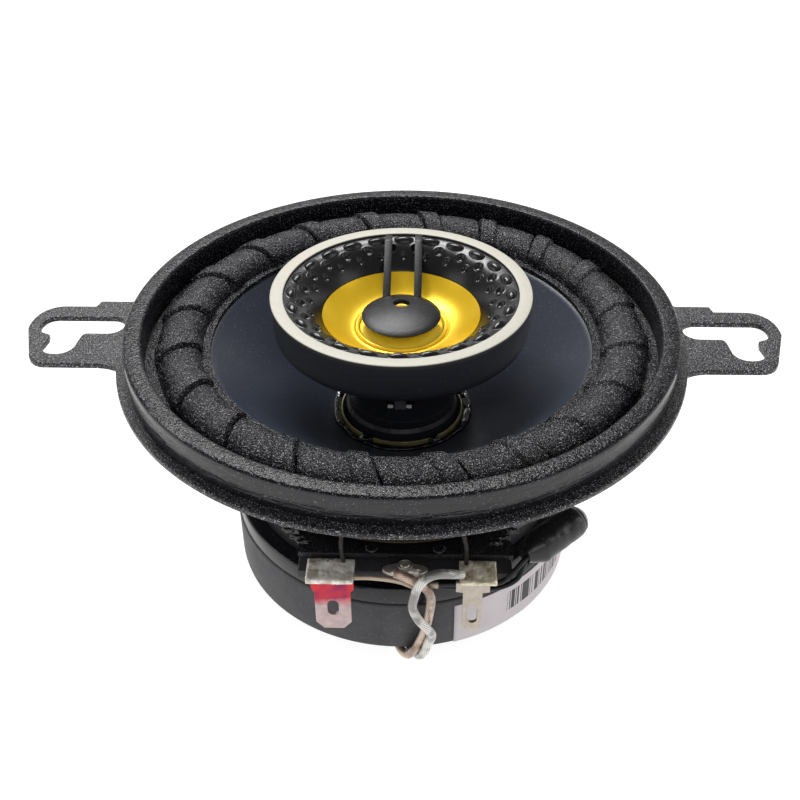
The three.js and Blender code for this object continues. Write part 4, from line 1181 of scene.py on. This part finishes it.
POSITIVE_TINSEL = [
    (-8.0, -29.6, 23.4), (-8.2, -29.4, 27.2), (-7.6, -26.0, 30.0), (-6.8, -21.5, 30.4),
    (-6.3, -17.6, 31.0), (-6.1, -16.0, 32.2),
]
NEGATIVE_TINSEL = [
    (10.3, -29.6, 23.4), (10.1, -29.4, 27.2), (8.6, -26.0, 30.0), (7.1, -21.5, 30.4),
    (6.3, -17.6, 31.0), (6.1, -16.0, 32.2),
]

WIRES = (
    ("bare_wire_lug", WIRE_TO_LUG, 0.4, "sleeved", "tin", "capacitor_wire_lug"),
    ("bare_wire_positive", WIRE_TO_POSITIVE, 0.4, "sleeved", "tin", "capacitor_wire_positive"),
    ("lead_negative", NEGATIVE_LEAD, 0.72, "silver_strands", "clear_jacket_silver", "tweeter_lead_negative"),
    ("lead_positive", POSITIVE_LEAD, 0.72, "copper_strands", "clear_jacket_copper", "tweeter_lead_positive"),
)
for name, route, radius, finish, slot_name, node in WIRES:
    give(tube(name, smooth_path(route), radius, finish, 20), "frame", slot_name, node)

for which, route in (("positive", POSITIVE_TINSEL), ("negative", NEGATIVE_TINSEL)):
    braid = tube("braid_" + which, smooth_path(route), 0.35, "braid", 14)
    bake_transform(braid)
    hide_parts("tinsel_lead_" + which)

# ---- tweeter pod

POD = [
    (7.7, 32.0), (8.6, 32.0, 0.15), (8.6, 43.2, 0.8), (14.5, 44.1, 0), (18.2, 44.8, 1.2), (20.0, 46.4, 1.4),
    (20.1, 51.85, 0.1), (18.9, 51.85), (18.9, 46.8, 0.5), (17.6, 46.0), (9.2, 44.9), (7.7, 44.9),
]


def pod():
    """The tweeter's cup and neck, with the clip's window and a small collar."""
    cup = turned("pod", POD, "pod", 0.2)
    carve(cup, [cutter("clip_window", (-2.2, -10, 36.2), (2.2, -6.5, 38.1))])
    shade(cup.data)
    collar = [(8.55, 33.0), (8.72, 33.0, 0.05), (8.72, 33.5, 0.05), (8.55, 33.5)]
    band = turned("pod_collar", collar, "pod", 0.05, 128)
    return join("pod", [cup, band])


give(pod(), "frame", "pod_plastic", "tweeter_housing")
TRIM_RING = [(18.2, 51.9), (20.25, 51.9, 0.1), (20.25, 52.5, 0.22), (18.2, 52.5, 0.2)]
give(turned("trim_ring", TRIM_RING, "cream", 0.1, 256), "frame", "cream_plastic", "tweeter_trim_ring")


FLARE_IN, FLARE_OUT = 12.45, 18.15


def flare_height(r):
    """Height of the flare's smooth face: steep at the bowl, level at the trim ring."""
    share = (r - FLARE_IN) / (FLARE_OUT - FLARE_IN)
    return 48.65 + 3.45 * (1 - (1 - share) ** 2)


# Rows of round relief on the flare: radius, count, phase, radial size, tangential size, lift
BUMP_ROWS = (
    (17.0, 24, 0.0, 0.80, 1.6, 0.5),
    (15.45, 24, 7.5, 0.64, 0.76, -0.42),
    (14.25, 24, 0.0, 0.44, 0.50, -0.3),
)


def bumps(degrees, r):
    """The rows' relief at a point: domes, and pits with a faint raised lip."""
    total = 0.0
    for row_r, count, phase, half_r, half_t, lift in BUMP_ROWS:
        pitch = 360.0 / count
        off = (degrees - phase + pitch / 2) % pitch - pitch / 2
        u = (r - row_r) / half_r
        v = radians(off) * row_r / half_t
        d = u * u + v * v
        if d < 1.0:
            total += lift * (1 - d) ** (0.8 if lift > 0 else 0.7)
        elif lift < 0 and d < 2.2:
            total += 0.06 * (1 - abs(d - 1.6) / 0.6)
    return total


def flare():
    """The black bell round the gold bowl, with its rows of bumps and pits."""
    across, around = 56, 1080
    points = []
    section = [FLARE_IN + (FLARE_OUT - FLARE_IN) * i / across for i in range(across + 1)]
    for r in section:
        for k in range(around):
            degrees = 360.0 * k / around
            h = bumps(degrees, r)
            points.append(polar(r - 0.3 * h, radians(degrees), flare_height(r) + 0.95 * h))
    under = [(FLARE_OUT, 51.83), (18.75, 51.83), (18.75, 51.2), (17.2, 51.0), (15.6, 50.3)]
    under += [(13.5, 48.15), (FLARE_IN, 48.15)]
    points += rings(under, around)
    faces = closed_faces(len(section) + len(under), around)
    return from_lists("flare", points, faces, "flare", 50.0)


give(flare(), "frame", "pod_plastic", "tweeter_flare")


def horn():
    """The gold bowl, with a fine bead round its throat."""
    face, back = [], []
    steps = 48
    for i in range(steps + 1):
        t = i / steps
        r = 7.3 + (12.35 - 7.3) * t
        z = 45.9 + 2.7 * t**1.8
        bead = 0.1 * math.exp(-(((r - 7.55) / 0.12) ** 2))
        face.append((r, z + bead, 0))
        back.append((r + 0.25 * t, z - 0.45 - 0.15 * t, 0))
    rim = [(13.7, 47.8), (13.7, 48.1), (12.4, 48.1)]
    return turned("horn", [*back, *rim, *reversed(face)], "gold", 0.05)


give(horn(), "frame", "gold_plastic", "tweeter_horn")


def phase_disc():
    """A domed disc with one hole, on two bars that rise to the rim."""
    dome = [(0, 48.2), (5.95, 47.7, 0.05), (6.25, 48.0, 0.12)]
    for i in range(11, -1, -1):
        r = 6.0 * i / 12
        dome.append((r, 48.9 - 0.82 * (r / 6.25) ** 2, 0))
    disc = turned("phase_disc", dome, "disc", 0.06, 160)
    hole = [(0, 40), (1.05, 40), (1.05, 48.35), (1.4, 48.85), (1.4, 55), (0, 55)]
    pin = turned("pin", hole, "disc", 0, 48)
    pin.data.transform(Matrix.Translation((0, 2.4 * MM, 0)))
    carve(disc, [pin])
    shade(disc.data)
    parts = [disc]
    for x in (-2.5, 2.5):
        low = [(5.0, 47.8), (16.0, 51.95), (17.85, 52.12)]
        high = [(17.85, 52.45), (16.0, 52.4), (5.0, 48.2)]
        side = rounded([*low, *high], 0.12)
        parts.append(bar_between("bar", side, x - 0.62, x + 0.62))
    return join("phase_disc", parts)


def bar_between(name, side, x0, x1):
    """A bar of one side outline in Y and height, between two planes of X, with rounded edges."""
    count = len(side)
    points = [(x, y, z) for x in (x0, x1) for y, z in side]
    faces = [(k, (k + 1) % count, count + (k + 1) % count, count + k) for k in range(count)]
    faces.append(tuple(reversed(range(count))))
    faces.append(tuple(count + k for k in range(count)))
    obj = from_lists(name, points, faces, "disc")
    merge(obj.data)
    return soften_edges(obj, 0.12, 50.0)


give(phase_disc(), "frame", "pod_plastic", "tweeter_phase_disc")


def tweeter_dome():
    """A wide shallow dome, and the narrower former under it."""
    edge, inner, steps = 6.55, 5.2, 20

    def height(r):
        return 46.0 + 1.75 * (1 - (r / edge) ** 2.6)

    face = [(edge * i / steps, height(edge * i / steps), 0) for i in range(steps + 1)]
    under = [(inner * i / steps, height(inner * i / steps) - 0.15, 0) for i in range(steps + 1)]
    former = [(5.2, 41.3), (5.35, 41.3), (5.35, height(5.35) - 0.15), (6.5, height(6.5) - 0.12)]
    return turned("dome", [*under, *former, *reversed(face)], "film_gold", 0.0, 128)


give(tweeter_dome(), "tweeter_diaphragm", "gold_film", "tweeter_dome")


def dome_edge():
    """The dome's own small half roll, between the dome and the pod."""
    top, under = [(9.4, 45.4, 0), (7.26, 45.4, 0)], [(9.4, 45.24, 0), (7.12, 45.24, 0)]
    for i in range(13):
        turn = pi * i / 12
        top.append((6.93 + 0.29 * cos(turn), 45.95 + 0.38 * sin(turn), 0))
        under.append((6.93 + 0.17 * cos(turn), 45.95 + 0.26 * sin(turn), 0))
    top.append((6.62, 45.8, 0))
    return turned("dome_edge", [*top, *reversed(under)], "film_gold", 0, 160, sharp=60.0)


EDGE = dome_edge()
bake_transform(EDGE)
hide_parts("tweeter_surround")

# The two ends of the metal clip that show in the neck's window
for side, x in (("left", -1.55), ("right", 1.35)):
    piece = cutter("clip_wing_" + side, (x - 0.42, -8.95, 36.45), (x + 0.42, -8.5, 36.85))
    piece.data.materials.append(FINISH["white"])
    soften_edges(piece, 0.06)
    give(piece, "frame", "nickel")

# ---- CAD nodes that stay

KEPT = {
    "hollow_stud": "zinc",
    "stud_nut": "zinc",
    "voice_coil_winding": "copper",
    "tweeter_coil": "copper",
    "tweeter_post": "pod",
    "tweeter_clip": "nickel",
    "tweeter_yoke": "zinc",
    "tweeter_magnet": "nickel",
    "tweeter_pole_plate": "zinc",
    "capacitor": "glue",
}
for node, finish in KEPT.items():
    NODES[node].data.materials.clear()
    NODES[node].data.materials.append(FINISH[finish])

# ---- studio


def floor():
    """A pale sheet, level just under the speaker, that curves up to a low rim all round."""
    around, bend = 96, 12
    level, rim_reach, rim_height = 1000.0, 450.0, 520.0
    section = [(300.0, 0.0), (level, 0.0)]
    for i in range(1, bend + 1):
        turn = i / bend * pi / 2
        section.append((level + rim_reach * sin(turn), rim_height * (1 - cos(turn))))
    points, faces = [(0.0, 0.0, 0.0), *rings(section, around)], []
    for k in range(around):
        n = (k + 1) % around
        faces.append((0, 1 + k, 1 + n))
        for i in range(len(section) - 1):
            low, high = 1 + i * around, 1 + (i + 1) * around
            faces.append((low + k, high + k, high + n, low + n))
    sheet = from_lists("floor", points, faces, "studio")
    gap = 0.02 * MM
    sheet.data.transform(Matrix.Translation((0, 0, -gap)))


def area_light(name, place, size, power):
    """A soft rectangular light that points at the middle of the speaker. Places are in metres."""
    data = bpy.data.lights.new(name, "AREA")
    data.shape = "RECTANGLE"
    data.size, data.size_y = size
    data.energy = power
    obj = bpy.data.objects.new(name, data)
    scene.collection.objects.link(obj)
    obj.location = place
    aim = Vector((0, 0, 0.03)) - Vector(place)
    obj.rotation_mode = "QUATERNION"
    obj.rotation_quaternion = aim.to_track_quat("-Z", "Y")


floor()
area_light("key", (-0.10, 0.38, 0.55), (0.34, 0.20), 4.8)
area_light("front", (0.10, -0.55, 0.45), (0.5, 0.2), 0.7)
area_light("left", (-0.55, -0.05, 0.28), (0.25, 0.4), 0.6)
area_light("right", (0.55, -0.05, 0.32), (0.25, 0.4), 0.6)

world = bpy.data.worlds.new("studio")
world.use_nodes = True
world.node_tree.nodes["Background"].inputs["Color"].default_value = (1.0, 1.0, 1.0, 1.0)
world.node_tree.nodes["Background"].inputs["Strength"].default_value = 0.26
scene.world = world
scene.view_settings.view_transform = "Standard"
